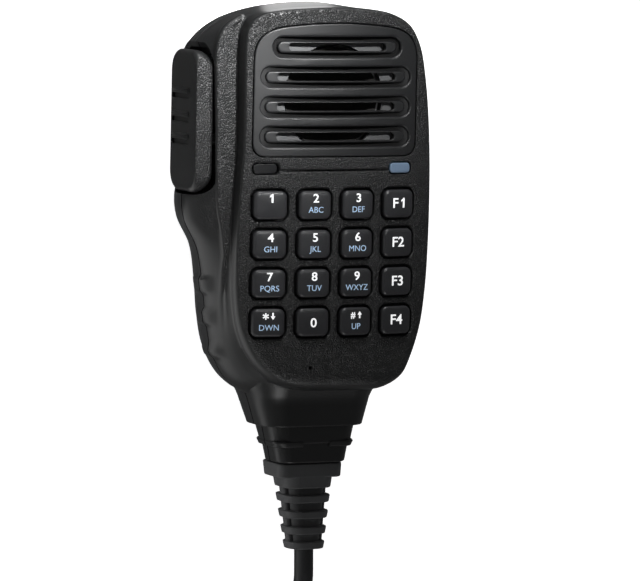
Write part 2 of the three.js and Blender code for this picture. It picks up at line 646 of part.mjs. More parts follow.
// ---- the assembly ----
const pieces = [
  ["front_shell", frontShell(), GRAINED],
  ["rear_shell", rearShell(), SATIN],
  ["grille_panel", grillePanel(), SATIN],
  ["speaker_gasket", speakerGasket(), FOAM],
  ["speaker_basket", speakerBasket(), STEEL],
  ["speaker_cone", speakerCone(), PAPER],
  ["speaker_magnet", speakerMagnet(), STEEL],
  ["indicator_lens", indicatorLens(), LENS],
  ["indicator_led", indicatorLed(), WHITE_PLASTIC],
  ["blank_window", blankWindow(), SATIN],
  ["circuit_board", circuitBoard(), BOARD_GREEN],
  ["keypad_web", keypadWeb(), RUBBER],
  ...keyPlaces.map((place) => [place.name, key(place), KEYCAP]),
  ["ptt_key", pttKey(), GRAINED],
  ["ptt_pivot_pin", pttPin(), STEEL],
  ["ptt_plunger", pttPlunger(), WHITE_PLASTIC],
  ["ptt_switch", pttSwitch(), SATIN],
  ["ptt_switch_board", pttBoard(), BOARD_GREEN],
  ["mic_capsule", micCapsule(), STEEL],
  ["mic_grommet", micGrommet(), RUBBER],
  ...CASE_SCREWS.map((place, i) => [`case_screw_${i + 1}`, caseScrew(place), STEEL]),
  ...BOARD_SCREWS.map((place, i) => [`board_screw_${i + 1}`, boardScrew(place), STEEL]),
  ["hanger_button", hangerButton(), SATIN],
  ["hanger_screw", hangerScrew(), STEEL],
  ["cord_boot", cordBoot(), RUBBER],
  ["cord_clamp", cordClamp(), SATIN],
  ["cord_header", cordHeader(), WHITE_PLASTIC],
  ["cord_inner", cordInner(), RUBBER],
];
const cordPieces = [
  ["cord_tail", tubeAlong(TAIL_ROUTE, CORD_R, 9, 10), RUBBER],
  ["curly_cord", curlyCord(), RUBBER],
  ["cord_tie", cordTie(), RUBBER],
  ["plug_tail", tubeAlong(PLUG_ROUTE, CORD_R, 12, 10), RUBBER],
  ["plug_boot", plugBoot(), RUBBER],
  ["plug_body", plugBody(), CLEAR],
  ["plug_latch", plugLatch(), CLEAR],
  ["plug_contacts", plugContacts(), BRASS],
];

const mesh = ([name, body, look]) => {
  const made = new THREE.Mesh(geometryOf(body), look);
  made.name = name;
  return made;
};

const root = new THREE.Group();
root.add(...pieces.map(mesh));
const middle = new THREE.Box3().setFromObject(root).getCenter(new THREE.Vector3());
root.add(...cordPieces.map(mesh));
root.position.set(-middle.x, -middle.y, 0);

export default root;
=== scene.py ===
"""Hand microphone of a mobile radio: its looks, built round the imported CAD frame.

Shapes are written in millimetres with the middle of the keypad at x = 0, y = 0, as in the CAD source, and
placed() moves them into the row frame, in metres.
"""

import math

import bmesh
import bpy
import numpy as np
from mathutils import Matrix, Vector


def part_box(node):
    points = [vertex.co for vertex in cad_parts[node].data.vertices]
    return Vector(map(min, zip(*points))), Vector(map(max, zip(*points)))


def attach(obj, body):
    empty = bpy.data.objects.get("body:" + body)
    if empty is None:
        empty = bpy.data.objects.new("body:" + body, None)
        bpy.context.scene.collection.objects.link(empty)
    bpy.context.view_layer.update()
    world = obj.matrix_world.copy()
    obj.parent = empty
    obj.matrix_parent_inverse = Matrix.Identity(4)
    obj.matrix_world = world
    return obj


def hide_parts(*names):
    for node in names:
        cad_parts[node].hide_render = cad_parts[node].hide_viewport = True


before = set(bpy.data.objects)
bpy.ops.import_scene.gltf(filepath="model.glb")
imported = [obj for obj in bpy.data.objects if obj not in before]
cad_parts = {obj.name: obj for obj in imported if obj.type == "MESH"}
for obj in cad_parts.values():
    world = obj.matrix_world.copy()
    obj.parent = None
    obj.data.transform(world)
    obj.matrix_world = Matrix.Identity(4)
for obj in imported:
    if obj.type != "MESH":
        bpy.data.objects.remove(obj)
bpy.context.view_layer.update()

MM = 0.001
FIRST_KEY, LAST_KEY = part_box("key_1"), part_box("key_f4")
KEYPAD_MIDDLE = sum((FIRST_KEY[0], FIRST_KEY[1], LAST_KEY[0], LAST_KEY[1]), Vector()) / 4
ORIGIN = Vector((KEYPAD_MIDDLE.x, KEYPAD_MIDDLE.y, 0))

# ---- driving dimensions, in millimetres ----
FACE_Z = 36.2
CROWN_R = 140
CEILING_Z = 31.8
FLOOR_Z = 7.2
BACK_Z = 5
PART_Z = 20
HALF_GAP = 0.22
SHOULDER_Z = 29.3
KEY_SIZE = (8.8, 7.2, 1.7)
KEY_PROUD = 0.8
KEY_GAP = 0.5
COLUMN_PITCH = 12
ROW_PITCH = 10
PANEL_HALF = 22.9
PANEL_LOW = 27.3
PANEL_TOP = 61.2
PANEL_FLOOR = 33
SLOT_ROWS = [(32.35, 20.9), (39.95, 20.9), (47.55, 20.9), (55.15, 17.9)]
SLOT_HIGH = 5.2
SLOT_DEPTH_Z = 33.9
ISLAND_HIGH = 3
ISLAND_SINK = 0.35
OPENING_HIGH = 2.1
INDICATOR = (18.4, 24.2)
BLANK = (-19.2, 24.2)
MIC_HOLE = (-6.3, -26.7)
CASE_SCREWS = [(-17.5, 55), (17.5, 55), (-16.5, -24), (16.5, -24)]
BUTTON_Y = 18
CORD_R = 2.5
BOOT_END = -75.3
CURLY_X = (-22, 2)
CURLY_Y = (-134.4, -236)
CURLY_Z = 9.2
COIL_R = 5
TIE_Y = (-190, -181)

WAIST_LINE = [
    (0, 66.1), (-10, 65.7), (-18.2, 64.4), (-25.2, 62.1), (-30.3, 58.8), (-33.6, 54.5), (-34.3, 48),
    (-33.8, 36), (-34.2, 24), (-36, 16.6), (-35.3, 10.5), (-31.6, 3), (-29.8, -6.5), (-28.6, -16),
    (-26.6, -24.4), (-22.6, -31), (-16, -35), (-8, -36), (0, -36.2), (8, -36), (16, -34.6),
    (22.6, -30), (26.8, -22), (28.6, -10), (29.2, 3), (29.6, 15), (30, 27), (30, 38), (29.5, 48),
    (27.2, 55.4), (22.8, 60.4), (16.5, 63.2), (9, 64.9),
]
LEDGE_LINE = [
    (0, 65.6), (-10, 65.4), (-17, 64.9), (-22.6, 63.6), (-26.7, 61.8), (-29.7, 59.3), (-31.2, 55.2),
    (-31.2, 45), (-30.8, 34), (-30.6, 24), (-30, 14), (-28.8, 8), (-27.9, 1), (-27.3, -8), (-25.8, -16.5),
    (-22.6, -24), (-18.6, -29), (-13.6, -32.6), (-7.2, -34.2), (0, -34.6), (7.4, -34.4), (15, -33.6),
    (20.9, -30.4), (24.2, -24.6), (26.6, -16.5), (27.8, -7), (28.2, 3), (28.4, 15), (28.3, 27), (27.6, 38),
    (26.6, 47), (24.8, 55.2), (21.6, 60.8), (16, 63.8), (9, 65.1),
]
FACE_LINE = [
    (0, 65.3), (-9, 65), (-15.5, 64.5), (-20.2, 63.6), (-23.2, 61.9), (-24.7, 59.3), (-25.2, 55),
    (-25.2, 47), (-25.1, 38), (-25.2, 28), (-25.8, 18), (-26.3, 9), (-26.5, 0), (-26.2, -9), (-24.8, -17),
    (-21.6, -24), (-17.6, -28.6), (-12.8, -31.6), (-6.8, -33), (0, -33.3), (7.2, -33.2), (15.2, -32.7),
    (20.7, -29.6), (23.6, -24.2), (26, -16.5), (27.3, -7), (27.8, 3), (28, 15), (27.8, 27), (27.1, 38),
    (26, 47), (24.2, 55.2), (20.9, 60.7), (15.5, 63.6), (8.5, 64.9),
]
CASE_MIDDLE_Y = 15
SIDE_R = 9  # of the rear shell's round side
SHOULDER_FOOT = 0.8  # radius where the shoulder meets the upright wall of the face
LEDGE_R = 1.2
# Radius of the edge round the front face, by the direction from the middle of the case in degrees.
FACE_EDGE = [
    (0, 0.5), (60, 0.7), (90, 1.1), (140, 1.3), (180, 0.8), (205, 0.8), (225, 2), (245, 4.6), (270, 5.2),
    (284, 3.8), (296, 1.6), (310, 0.9), (335, 0.5),
]


# ---- meshes and their combinations ----
def placed(x, y, z):
    """A point of the row frame, in metres, from millimetres."""
    return ORIGIN + Vector((x, y, z)) * MM


def crown(x, y=0):
    """Height of the face, which bulges across; y is there so that it can serve as a top(x, y)."""
    return FACE_Z - x * x / (2 * CROWN_R)


def new_object(name, mesh):
    made = bpy.data.objects.new(name, mesh)
    bpy.context.scene.collection.objects.link(made)
    return made


def closed_mesh(name, points, faces):
    """An object from points in millimetres and faces that close it, with its normals outwards."""
    mesh = bpy.data.meshes.new(name)
    mesh.from_pydata([placed(*p) for p in points], [], faces)
    work = bmesh.new()
    work.from_mesh(mesh)
    bmesh.ops.recalc_face_normals(work, faces=work.faces)
    work.to_mesh(mesh)
    work.free()
    return new_object(name, mesh)


def band_faces(count, rings, closed=False):
    """Quads between each ring of points and the next, and from the last to the first where it is closed."""
    faces = []
    for k in range(rings if closed else rings - 1):
        low, high = k * count, (k + 1) % rings * count
        for i in range(count):
            after = (i + 1) % count
            faces.append((low + i, low + after, high + after, high + i))
    return faces


def loft(name, rings):
    """A closed solid through rings of equal length, with a fan of triangles over each end."""
    count = len(rings[0])
    points = [tuple(p) for ring in rings for p in ring]
    faces = band_faces(count, len(rings))
    for start in (0, (len(rings) - 1) * count):
        middle = np.mean(points[start : start + count], axis=0)
        points.append(tuple(middle))
        faces += [(start + i, start + (i + 1) % count, len(points) - 1) for i in range(count)]
    return closed_mesh(name, points, faces)


def combined(base, others, operation):
    """The boolean of base with the others, which are used up."""
    for other in others:
        step = base.modifiers.new("boolean", "BOOLEAN")
        step.operation = operation
        step.solver = "MANIFOLD"
        step.object = other
    graph = bpy.context.evaluated_depsgraph_get()
    mesh = bpy.data.meshes.new_from_object(base.evaluated_get(graph))
    base.modifiers.clear()
    base.data = mesh
    for other in others:
        bpy.data.objects.remove(other)
    if not mesh.polygons:
        raise RuntimeError(base.name + " came out empty")
    return base


def joined(name, objects):
    """One object of several separate closed meshes."""
    work = bmesh.new()
    for o in objects:
        work.from_mesh(o.data)
        bpy.data.objects.remove(o)
    mesh = bpy.data.meshes.new(name)
    work.to_mesh(mesh)
    work.free()
    return new_object(name, mesh)


def shaded(o, angle=35):
    """Smooth shading with sharp edges over that angle, and normals that favour the larger faces."""
    o.data.shade_smooth()
    o.data.set_sharp_from_angle(angle=math.radians(angle))
    step = o.modifiers.new("normals", "WEIGHTED_NORMAL")
    step.keep_sharp = True
    step.weight = 100
    return o


def finished(o, body, look, *nodes, slot=None):
    """Gives a piece its body and its material, and hides the CAD nodes that it stands for."""
    o.data.materials.clear()
    o.data.materials.append(look)
    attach(o, body)
    if nodes:
        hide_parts(*nodes)
    return o


# ---- outlines ----
def smooth_line(points, per_span=24):
    """Points on the closed centripetal Catmull-Rom curve through some points."""
    p = np.array(points, float)
    made = []
    for i in range(len(p)):
        a, b, c, d = (p[(i + k) % len(p)] for k in (-1, 0, 1, 2))
        t1 = np.linalg.norm(b - a) ** 0.5
        t2 = t1 + np.linalg.norm(c - b) ** 0.5
        t3 = t2 + np.linalg.norm(d - c) ** 0.5
        for t in np.linspace(t1, t2, per_span, endpoint=False):
            ab = a + (b - a) * t / t1
            bc = b + (c - b) * (t - t1) / (t2 - t1)
            cd = c + (d - c) * (t - t2) / (t3 - t2)
            abc = ab + (bc - ab) * t / t2
            bcd = bc + (cd - bc) * (t - t1) / (t3 - t1)
            made.append(abc + (bcd - abc) * (t - t1) / (t2 - t1))
    return np.array(made)


def rounded_rect(w, h, r, x=0, y=0, per_corner=8, across=None):
    """An anticlockwise closed line of (x, y), or of (x, across, z) where it stands across Y."""
    made = []
    for corner, (sx, sy) in enumerate(((1, 1), (-1, 1), (-1, -1), (1, -1))):
        for angle in np.radians(np.linspace(0, 90, per_corner + 1)) + corner * math.pi / 2:
            u = x + sx * (w / 2 - r) + r * math.cos(angle)
            v = y + sy * (h / 2 - r) + r * math.sin(angle)
            made.append((u, v) if across is None else (u, across, v))
    return made


def evenly(line, count):
    """The same closed line with that many points, evenly spread."""
    p = np.array([*line, line[0]], float)
    run = np.concatenate([[0], np.cumsum(np.linalg.norm(np.diff(p, axis=0), axis=1))])
    at = np.linspace(0, run[-1], count, endpoint=False)
    return [tuple(q) for q in np.stack([np.interp(at, run, p[:, k]) for k in (0, 1)], axis=1)]


def rect_outline(w, h, r, x=0, y=0, count=None):
    """A function that gives a rounded rectangle grown by some millimetres."""

    def outline(grow=0):
        line = rounded_rect(w + 2 * grow, h + 2 * grow, max(r + grow, 0.05), x, y)
        return evenly(line, count) if count else line

    return outline


def bezier(controls, count):
    """Points on a Bezier curve of any degree, its last point left out."""
    t = np.linspace(0, 1, count, endpoint=False)[:, None]
    levels = [np.tile(np.array(c, float), (count, 1)) for c in controls]
    while len(levels) > 1:
        levels = [a * (1 - t) + b * t for a, b in zip(levels, levels[1:])]
    return [tuple(p) for p in levels[0]]


def panel_outline(grow=0):
    w, low, top = PANEL_HALF + grow, PANEL_LOW - grow, PANEL_TOP + grow
    corner = 3.6
    line = [
        *bezier([(w - corner, low), (w, low), (w, low + corner)], 12),
        *bezier([(w, low + corner), (w, 51.5)], 8),
        *bezier([(w, 51.5), (w, 57), (w - 2.6, top - 1.8), (w - 8, top - 1)], 20),
        *bezier([(w - 8, top - 1), (0, top + 1), (8 - w, top - 1)], 20),
        *bezier([(8 - w, top - 1), (2.6 - w, top - 1.8), (-w, 57), (-w, 51.5)], 20),
        *bezier([(-w, 51.5), (-w, low + corner)], 8),
        *bezier([(-w, low + corner), (-w, low), (corner - w, low)], 12),
        *bezier([(corner - w, low), (w - corner, low)], 20),
    ]
    return evenly(line, 200)


QUARTER = [math.radians(a) for a in (0, 18, 36, 54, 72, 90)]


def raised(name, outline, low, top, edge):
    """A solid with a domed or flat top: top(x, y) is its height, and edge the radius of its rim."""
    rings = [[(x, y, low) for x, y in outline(0)]]
    for a in QUARTER:
        line = outline(-edge * (1 - math.cos(a)))
        rings.append([(x, y, top(x, y) - edge * (1 - math.sin(a))) for x, y in line])
    inner = np.array(outline(-edge))
    middle = inner.mean(axis=0)
    for part in (0.9, 0.75, 0.5, 0.25, 0.08):
        line = middle + (inner - middle) * part
        rings.append([(x, y, top(x, y)) for x, y in line])
    return loft(name, rings)


def pit(name, outline, low, rim, top=crown, above=3):
    """A cutter for a hole through the crowned face, which leaves a rim of that radius."""
    rings = [[(x, y, low) for x, y in outline(0)]]
    for a in QUARTER:
        line = outline(rim * (1 - math.cos(a)))
        rings.append([(x, y, top(x, y) - rim * (1 - math.sin(a))) for x, y in line])
    rings.append([(x, y, top(x, y) + above) for x, y in outline(rim)])
    return loft(name, rings)


def block(name, x0, x1, y0, y1, z0, z1):
    corners = [(x0, y0), (x1, y0), (x1, y1), (x0, y1)]
    return loft(name, [[(x, y, z) for x, y in corners] for z in (z0, z1)])


def turned(name, profile, x, y, segments=48):
    """A solid of revolution about a line along Z through (x, y), from (radius, z) pairs."""
    angles = np.linspace(0, 2 * math.pi, segments, endpoint=False)
    rings = [[(x + r * math.cos(a), y + r * math.sin(a), z) for a in angles] for r, z in profile]
    return loft(name, rings)


def along_y(name, sections, axis=None, per_corner=6):
    """A solid through rounded rectangles (y, width, height, corner radius) that stand across Y.

    axis(y) is the height of their middle, which is that of the parting line unless it is given.
    """
    return loft(
        name,
        [
            rounded_rect(w, h, r, 0, axis(y) if axis else PART_Z, per_corner, across=y)
            for y, w, h, r in sections
        ],
    )


def softened(sections, edge):
    """The sections of an along_y solid with its two ends rounded."""
    (y0, w0, h0, r0), (y1, w1, h1, r1) = sections[0], sections[-1]
    toward = math.copysign(1, y1 - y0)
    ends = []
    for (y, w, h, r), way in (((y0, w0, h0, r0), toward), ((y1, w1, h1, r1), -toward)):
        ends.append(
            [
                (y + way * edge * (1 - math.cos(a)), w - 2 * edge * (1 - math.sin(a)),
                 h - 2 * edge * (1 - math.sin(a)), max(r - edge * (1 - math.sin(a)), 0.1))
                for a in QUARTER
            ]
        )
    return [*ends[0], *sections[1:-1], *ends[1][::-1]]


# ---- materials ----
class Nodes:
    """A material's nodes, made and linked by short calls."""

    def __init__(self, name):
        self.material = bpy.data.materials.new(name)
        self.material.use_nodes = True
        self.tree = self.material.node_tree
        self.shader = self.tree.nodes["Principled BSDF"]
        self.place = self.add("ShaderNodeTexCoord").outputs["Object"]

    def add(self, kind, **inputs):
        node = self.tree.nodes.new(kind)
        for key, value in inputs.items():
            if isinstance(value, bpy.types.NodeSocket):
                self.tree.links.new(value, node.inputs[key])
            else:
                node.inputs[key].default_value = value
        return node

    def noise(self, size_mm, detail=2, distortion=0):
        node = self.add(
            "ShaderNodeTexNoise",
            Vector=self.place,
            Scale=1 / (size_mm * MM),
            Detail=detail,
            Distortion=distortion,
        )
        return node.outputs["Fac"]

    def ranged(self, value, low, high, start=0.3, end=0.7):
        node = self.add("ShaderNodeMapRange", Value=value)
        for key, number in (("From Min", start), ("From Max", end), ("To Min", low), ("To Max", high)):
            node.inputs[key].default_value = number
        return node.outputs["Result"]

    def math(self, operation, a, b):
        node = self.tree.nodes.new("ShaderNodeMath")
        node.operation = operation
        for socket, value in zip(node.inputs, (a, b)):
            if isinstance(value, bpy.types.NodeSocket):
                self.tree.links.new(value, socket)
            else:
                socket.default_value = value
        return node.outputs[0]

    def product(self, a, b):
        return self.math("MULTIPLY", a, b)

    def mixed(self, factor, a, b):
        node = self.tree.nodes.new("ShaderNodeMix")
        node.data_type = "RGBA"
        self.tree.links.new(factor, node.inputs[0])
        node.inputs[6].default_value = (*a, 1)
        node.inputs[7].default_value = (*b, 1)
        return node.outputs[2]

    def facing_front(self, start, end):
        """1 where the surface faces +Z, 0 on the sides."""
        normal = self.add("ShaderNodeNewGeometry").outputs["Normal"]
        split = self.add("ShaderNodeSeparateXYZ", Vector=normal)
        return self.ranged(split.outputs["Z"], 0, 1, start, end)

    def bump(self, height, depth_mm, strength=1.0, after=None):
        node = self.add("ShaderNodeBump", Height=height, Strength=strength, Distance=depth_mm * MM)
        if after:
            self.tree.links.new(after, node.inputs["Normal"])
        return node.outputs["Normal"]

    def set(self, **inputs):
        for key, value in inputs.items():
            socket = self.shader.inputs[key.replace("_", " ")]
            if isinstance(value, bpy.types.NodeSocket):
                self.tree.links.new(value, socket)
            else:
                socket.default_value = value


def plain(name, color, roughness, vary=0.12, grain=0.25, depth=0.01, spread=0.05, **sockets):
    """Moulded or metal surface with slight changes of colour and gloss and a fine grain."""
    n = Nodes(name)
    patches = n.noise(9, 3)
    dark, light = ([c * k for c in color] for k in (1 - vary, 1 + vary))
    n.set(
        Base_Color=n.mixed(n.ranged(patches, 0, 1), dark, light),
        Roughness=n.ranged(n.noise(3.5, 4), roughness - spread, roughness + spread),
        Normal=n.bump(n.noise(grain, 2), depth),
        **sockets,
    )
    return n.material


GRAIN_SIZE = 0.42  # of the leather grain's pebbles, in millimetres
GRAIN_FADE_Y = (-33, -28)  # below the first there is no grain, above the second all of it
PANEL_SHADE = (1.2, 0.6)  # depths under the face: painted shade, as darker colour, and dull gloss are full from the first down, none above the second


def grained_plastic():
    """Black plastic with a leather grain on what faces the front, above the neck, and satin sides."""
    n = Nodes("grained_plastic")
    along = n.add("ShaderNodeSeparateXYZ", Vector=n.place).outputs["Y"]
    above_neck = n.ranged(along, 0, 1, *(placed(0, y, 0).y for y in GRAIN_FADE_Y))
    front = n.product(n.facing_front(0.6, 0.85), above_neck)
    cells = n.add("ShaderNodeTexVoronoi", Vector=n.place, Scale=1 / (GRAIN_SIZE * MM))
    pebbles = cells.outputs["Distance"]
    lumps = n.product(n.ranged(pebbles, 1, 0, 0.05, 0.75), n.ranged(n.noise(1.6, 2), 0.55, 1))
    fine = n.bump(n.noise(0.3, 3), 0.01)
    dark, light = (0.006, 0.0063, 0.0066), (0.009, 0.0095, 0.0098)
    n.set(
        Base_Color=n.mixed(n.ranged(n.noise(14, 3), 0, 1), dark, light),
        Roughness=n.ranged(front, 0.38, 0.44, 0, 1),
        Normal=n.bump(n.product(front, lumps), 0.26, 1.0, after=fine),
    )
    return n.material


def grille_plastic_painted_shade():
    """Satin black plastic, rougher in the recesses round the slots, whose colour is darkened there as
    painted shade.
    """
    n = Nodes("grille_plastic_painted_shade")
    split = n.add("ShaderNodeSeparateXYZ", Vector=n.place)
    across = n.math("SUBTRACT", split.outputs["X"], ORIGIN.x)
    bulge = n.product(n.product(across, across), 1 / (2 * CROWN_R * MM))
    high = n.math("ADD", split.outputs["Z"], bulge)
    top = n.ranged(high, 0, 1, *((FACE_Z - depth) * MM for depth in PANEL_SHADE))
    n.set(
        # Painted shade: the base colour darkens down in the recesses round the slots.
        Base_Color=n.mixed(top, (0.002, 0.002, 0.0022), (0.0075, 0.008, 0.0088)),
        Roughness=n.ranged(top, 0.95, 0.44, 0, 1),
        Normal=n.bump(n.noise(0.3, 2), 0.006),
    )
    return n.material


GRAINED = grained_plastic()
GRILLE = grille_plastic_painted_shade()
SATIN = plain("satin_plastic", (0.0085, 0.009, 0.0098), 0.33, grain=0.3, depth=0.006)
KEYCAP = plain("keycap", (0.026, 0.0265, 0.029), 0.38, grain=0.35, depth=0.008)
RUBBER = plain("rubber", (0.05, 0.051, 0.053), 0.6, grain=0.22, depth=0.015)
CORD_LOOK = plain("cord_jacket", (0.014, 0.0145, 0.0155), 0.45, grain=0.3, depth=0.01)
FOAM = plain("gasket", (0.12, 0.122, 0.125), 0.85, vary=0.06, grain=0.4, depth=0.06)
STEEL = plain("steel", (0.5, 0.5, 0.51), 0.32, vary=0.05, grain=0.5, depth=0.004, Metallic=1.0)
BRASS = plain("gold_plating", (0.8, 0.58, 0.25), 0.25, vary=0.05, grain=0.5, depth=0.004, Metallic=1.0)
BOARD = plain("board", (0.02, 0.13, 0.06), 0.4, vary=0.15, grain=0.6, depth=0.01)
WHITE_PLASTIC = plain("white_plastic", (0.7, 0.7, 0.66), 0.4, vary=0.03, grain=0.4, depth=0.006)
PAPER = plain("cone_paper", (0.02, 0.019, 0.018), 0.8, grain=0.35, depth=0.03)
CLEAR = plain(
    "clear_plastic", (0.8, 0.85, 0.88), 0.08, vary=0.02, grain=0.5, depth=0.003,
    Transmission_Weight=0.85,
)
LENS = plain(
    "lens", (0.16, 0.23, 0.33), 0.16, vary=0.05, grain=0.4, depth=0.004,
    Coat_Weight=0.6, Coat_Roughness=0.05,
)
# The key legends glow a little: painted light that brightens the white and blue print.
INK_WHITE_PAINTED_GLOW = plain(
    "ink_white_painted_glow", (0.85, 0.86, 0.87), 0.5, vary=0.02, grain=0.2, depth=0.003,
    Emission_Color=(1, 1, 1, 1), Emission_Strength=0.6,
)
INK_BLUE_PAINTED_GLOW = plain(
    "ink_blue_painted_glow", (0.42, 0.58, 0.78), 0.5, vary=0.03, grain=0.2, depth=0.003,
    Emission_Color=(0.45, 0.62, 0.82, 1), Emission_Strength=0.35,
)
STRAP = plain("strap_weave", (0.018, 0.018, 0.02), 0.9, vary=0.2, grain=0.7, depth=0.12)


# ---- the case ----
CASE_ANGLES = np.linspace(0, 2 * math.pi, 480, endpoint=False)


def radii(points):
    """How far a closed line is from the middle of the case at each of the case's angles."""
    line = smooth_line(points) - np.array([0, CASE_MIDDLE_Y])
    angle = np.arctan2(line[:, 1], line[:, 0])
    order = np.argsort(angle)
    return np.interp(
        (CASE_ANGLES + math.pi) % (2 * math.pi) - math.pi,
        angle[order],
        np.hypot(line[:, 0], line[:, 1])[order],
        period=2 * math.pi,
    )


WAIST, LEDGE, FACE = radii(WAIST_LINE), radii(LEDGE_LINE), radii(FACE_LINE)


def eased(value, start, end):
    """0 up to start, 1 from end on, and a smooth rise between."""
    t = np.clip((value - start) / (end - start), 0, 1)
    return t * t * (3 - 2 * t)


def grip(radius, z):
    """Finger pads on the left side, across the parting line: how far they stand out at each angle."""
    x, y = radius * np.cos(CASE_ANGLES), CASE_MIDDLE_Y + radius * np.sin(CASE_ANGLES)
    along = sum(
        eased(y, low, low + 2.4) * (1 - eased(y, high - 0.7, high))
        for low, high in ((-9.4, -3.7), (-17.4, -11.9), (-25.8, -21.4))
    )
    across = eased(z, 13, 16) * (1 - eased(z, 21.5, 26))
    return 1.0 * along * across * (x < 0)


def case_ring(radius, z):
    """A ring round the case; z is a number, or one number for each angle."""
    x = radius * np.cos(CASE_ANGLES)
    y = CASE_MIDDLE_Y + radius * np.sin(CASE_ANGLES)
    return np.stack([x, y, np.broadcast_to(z, x.shape)], axis=1)


def case_body():
    rings = [case_ring((WAIST - SIDE_R) * part, BACK_Z) for part in (0.3, 0.7)]
    for t in np.radians(np.linspace(0, 90, 22)):
        z = PART_Z - (PART_Z - BACK_Z) * math.cos(t)
        radius = WAIST - SIDE_R + SIDE_R * math.sin(t)
        rings.append(case_ring(radius + grip(radius, z), z))
    # Beside the push-to-talk key a flat shoulder leads to the upright wall of the face, with a low rim
    # at its upper end. Elsewhere the side rounds smoothly in to the face.
    foot = SHOULDER_FOOT
    ledge_z = SHOULDER_Z - LEDGE_R
    shoulder = eased(LEDGE - FACE, 0.9, 1.7)
    direction = np.degrees(CASE_ANGLES)
    rim = 0.5 * eased(direction, 107, 118) * (1 - eased(direction, 120, 134))
    levels = [
        (LEDGE + (WAIST - LEDGE) * math.cos(t * math.pi / 2), PART_Z + (ledge_z - PART_Z) * t)
        for t in np.linspace(0, 1, 13)[1:]
    ]
    levels += [
        (LEDGE + 0.5 * rim - LEDGE_R * (1 - math.cos(a)), ledge_z + (LEDGE_R + rim) * math.sin(a))
        for a in QUARTER[1:]
    ]
    levels += [
        (LEDGE - LEDGE_R + (FACE + foot - LEDGE + LEDGE_R) * t, SHOULDER_Z) for t in (0.33, 0.67)
    ]
    levels += [
        (FACE + foot - foot * math.sin(a), SHOULDER_Z + foot - foot * math.cos(a)) for a in QUARTER
    ]
    for k, (radius, z) in enumerate(levels):
        t = (k + 1) / len(levels)
        rounded = FACE + (WAIST - FACE) * math.cos(t * math.pi / 2)
        rounded_z = PART_Z + (SHOULDER_Z + foot - PART_Z) * t
        height = rounded_z + (z - rounded_z) * shoulder
        radius = rounded + (radius - rounded) * shoulder
        rings.append(case_ring(radius + grip(radius, height), height))
    edge = np.interp(np.degrees(CASE_ANGLES), *zip(*FACE_EDGE), period=360)
    for a in np.radians(np.linspace(0, 90, 9)):
        radius = FACE - edge * (1 - math.cos(a))
        top = crown(radius * np.cos(CASE_ANGLES))
        if a == 0:
            start = SHOULDER_Z + foot
            rings.append(case_ring(radius, start + (top - edge - start) * 0.5))
        rings.append(case_ring(radius, top - edge * (1 - math.sin(a))))
    for part in (0.95, 0.85, 0.7, 0.5, 0.3, 0.12):
        radius = (FACE - edge) * part
        rings.append(case_ring(radius, crown(radius * np.cos(CASE_ANGLES))))
    return loft("case_body", rings)


def neck_axis(y):
    """Height of the neck's middle, which rises a little towards the cord."""
    return np.interp(-y, [30, 36, 43, 45, 52], [18.6, 18.6, 19.6, 20, 20.4])


def neck_body():
    stages = [
        [
            (-26, 38, 26, 9), (-31, 37.4, 25.2, 9), (-33, 36, 23.9, 8.6), (-34.5, 34.4, 22.5, 8),
            (-35.8, 33.2, 21.4, 7.4), (-37.4, 32.2, 20.6, 7), (-42.9, 29, 18.4, 6),
        ],
        [(-40, 25.8, 16.2, 5), (-47.5, 22.7, 14.4, 4.6)],
        [(-44, 22.7, 14, 4.4), (-52.5, 19.6, 13, 4)],
    ]
    parts = [along_y(f"neck_{k}", softened(s, 0.5), neck_axis) for k, s in enumerate(stages)]
    bead_sections = [(-46.6, 23, 14.8, 3.2), (-48.4, 22.4, 14.4, 3.2)]
    bead = along_y("neck_bead", softened(bead_sections, 0.6), neck_axis)
    parts.append(combined(bead, [block("bead_gap", -3.7, 3.7, -50, -45, PART_Z, 40)], "DIFFERENCE"))
    return combined(parts[0], parts[1:], "UNION")


def case_room():
    levels = [
        (WAIST - 9.6, FLOOR_Z), (WAIST - 5.4, FLOOR_Z + 3), (LEDGE - 2.6, FLOOR_Z + 7),
        (LEDGE - 2.6, SHOULDER_Z - 1.5), (LEDGE - 3.6, CEILING_Z),
    ]
    room = loft("case_room", [case_ring(radius, z) for radius, z in levels])
    kept = [
        block("kept_side", -40, -25.6, 12, 60, 0, 40),
        block("kept_wall", -40, -23.7, 2, 70, SHOULDER_Z - 2.4, 40),
        block("kept_upper_wall", -40, -21.9, 22, 70, SHOULDER_Z - 2.4, 40),
        block("kept_corner", -40, -18.4, 55, 70, SHOULDER_Z - 2.4, 40),
    ]
    return combined(room, kept, "DIFFERENCE")


PTT_PIN = (-29.6, 50.6)
PTT_Y = (17.6, 53.8)
PTT_Z = (11.4, 28)
PTT_RIBS = (43.4, 37.4, 31.7)


def ptt_ring(x, less_y, less_z, r, lower=0):
    """The push-to-talk key's outline, smaller by some millimetres, standing across X."""
    y, z = sum(PTT_Y) / 2, sum(PTT_Z) / 2 - lower
    line = rounded_rect(PTT_Y[1] - PTT_Y[0] - less_y, PTT_Z[1] - PTT_Z[0] - less_z, r, y, z)
    return [(x, u, v) for u, v in line]


def mouth_ring(x, grow):
    """An outline round the upper part of that key, for the lip that flares out of its pocket."""
    y, z = PTT_Y[1] + 0.6 - 10, sum(PTT_Z) / 2 - 0.1
    line = rounded_rect(20 + grow, PTT_Z[1] - PTT_Z[0] + 1 + grow, 4.6 + grow / 2, y + grow / 2, z)
    return [(x, u, v) for u, v in line]


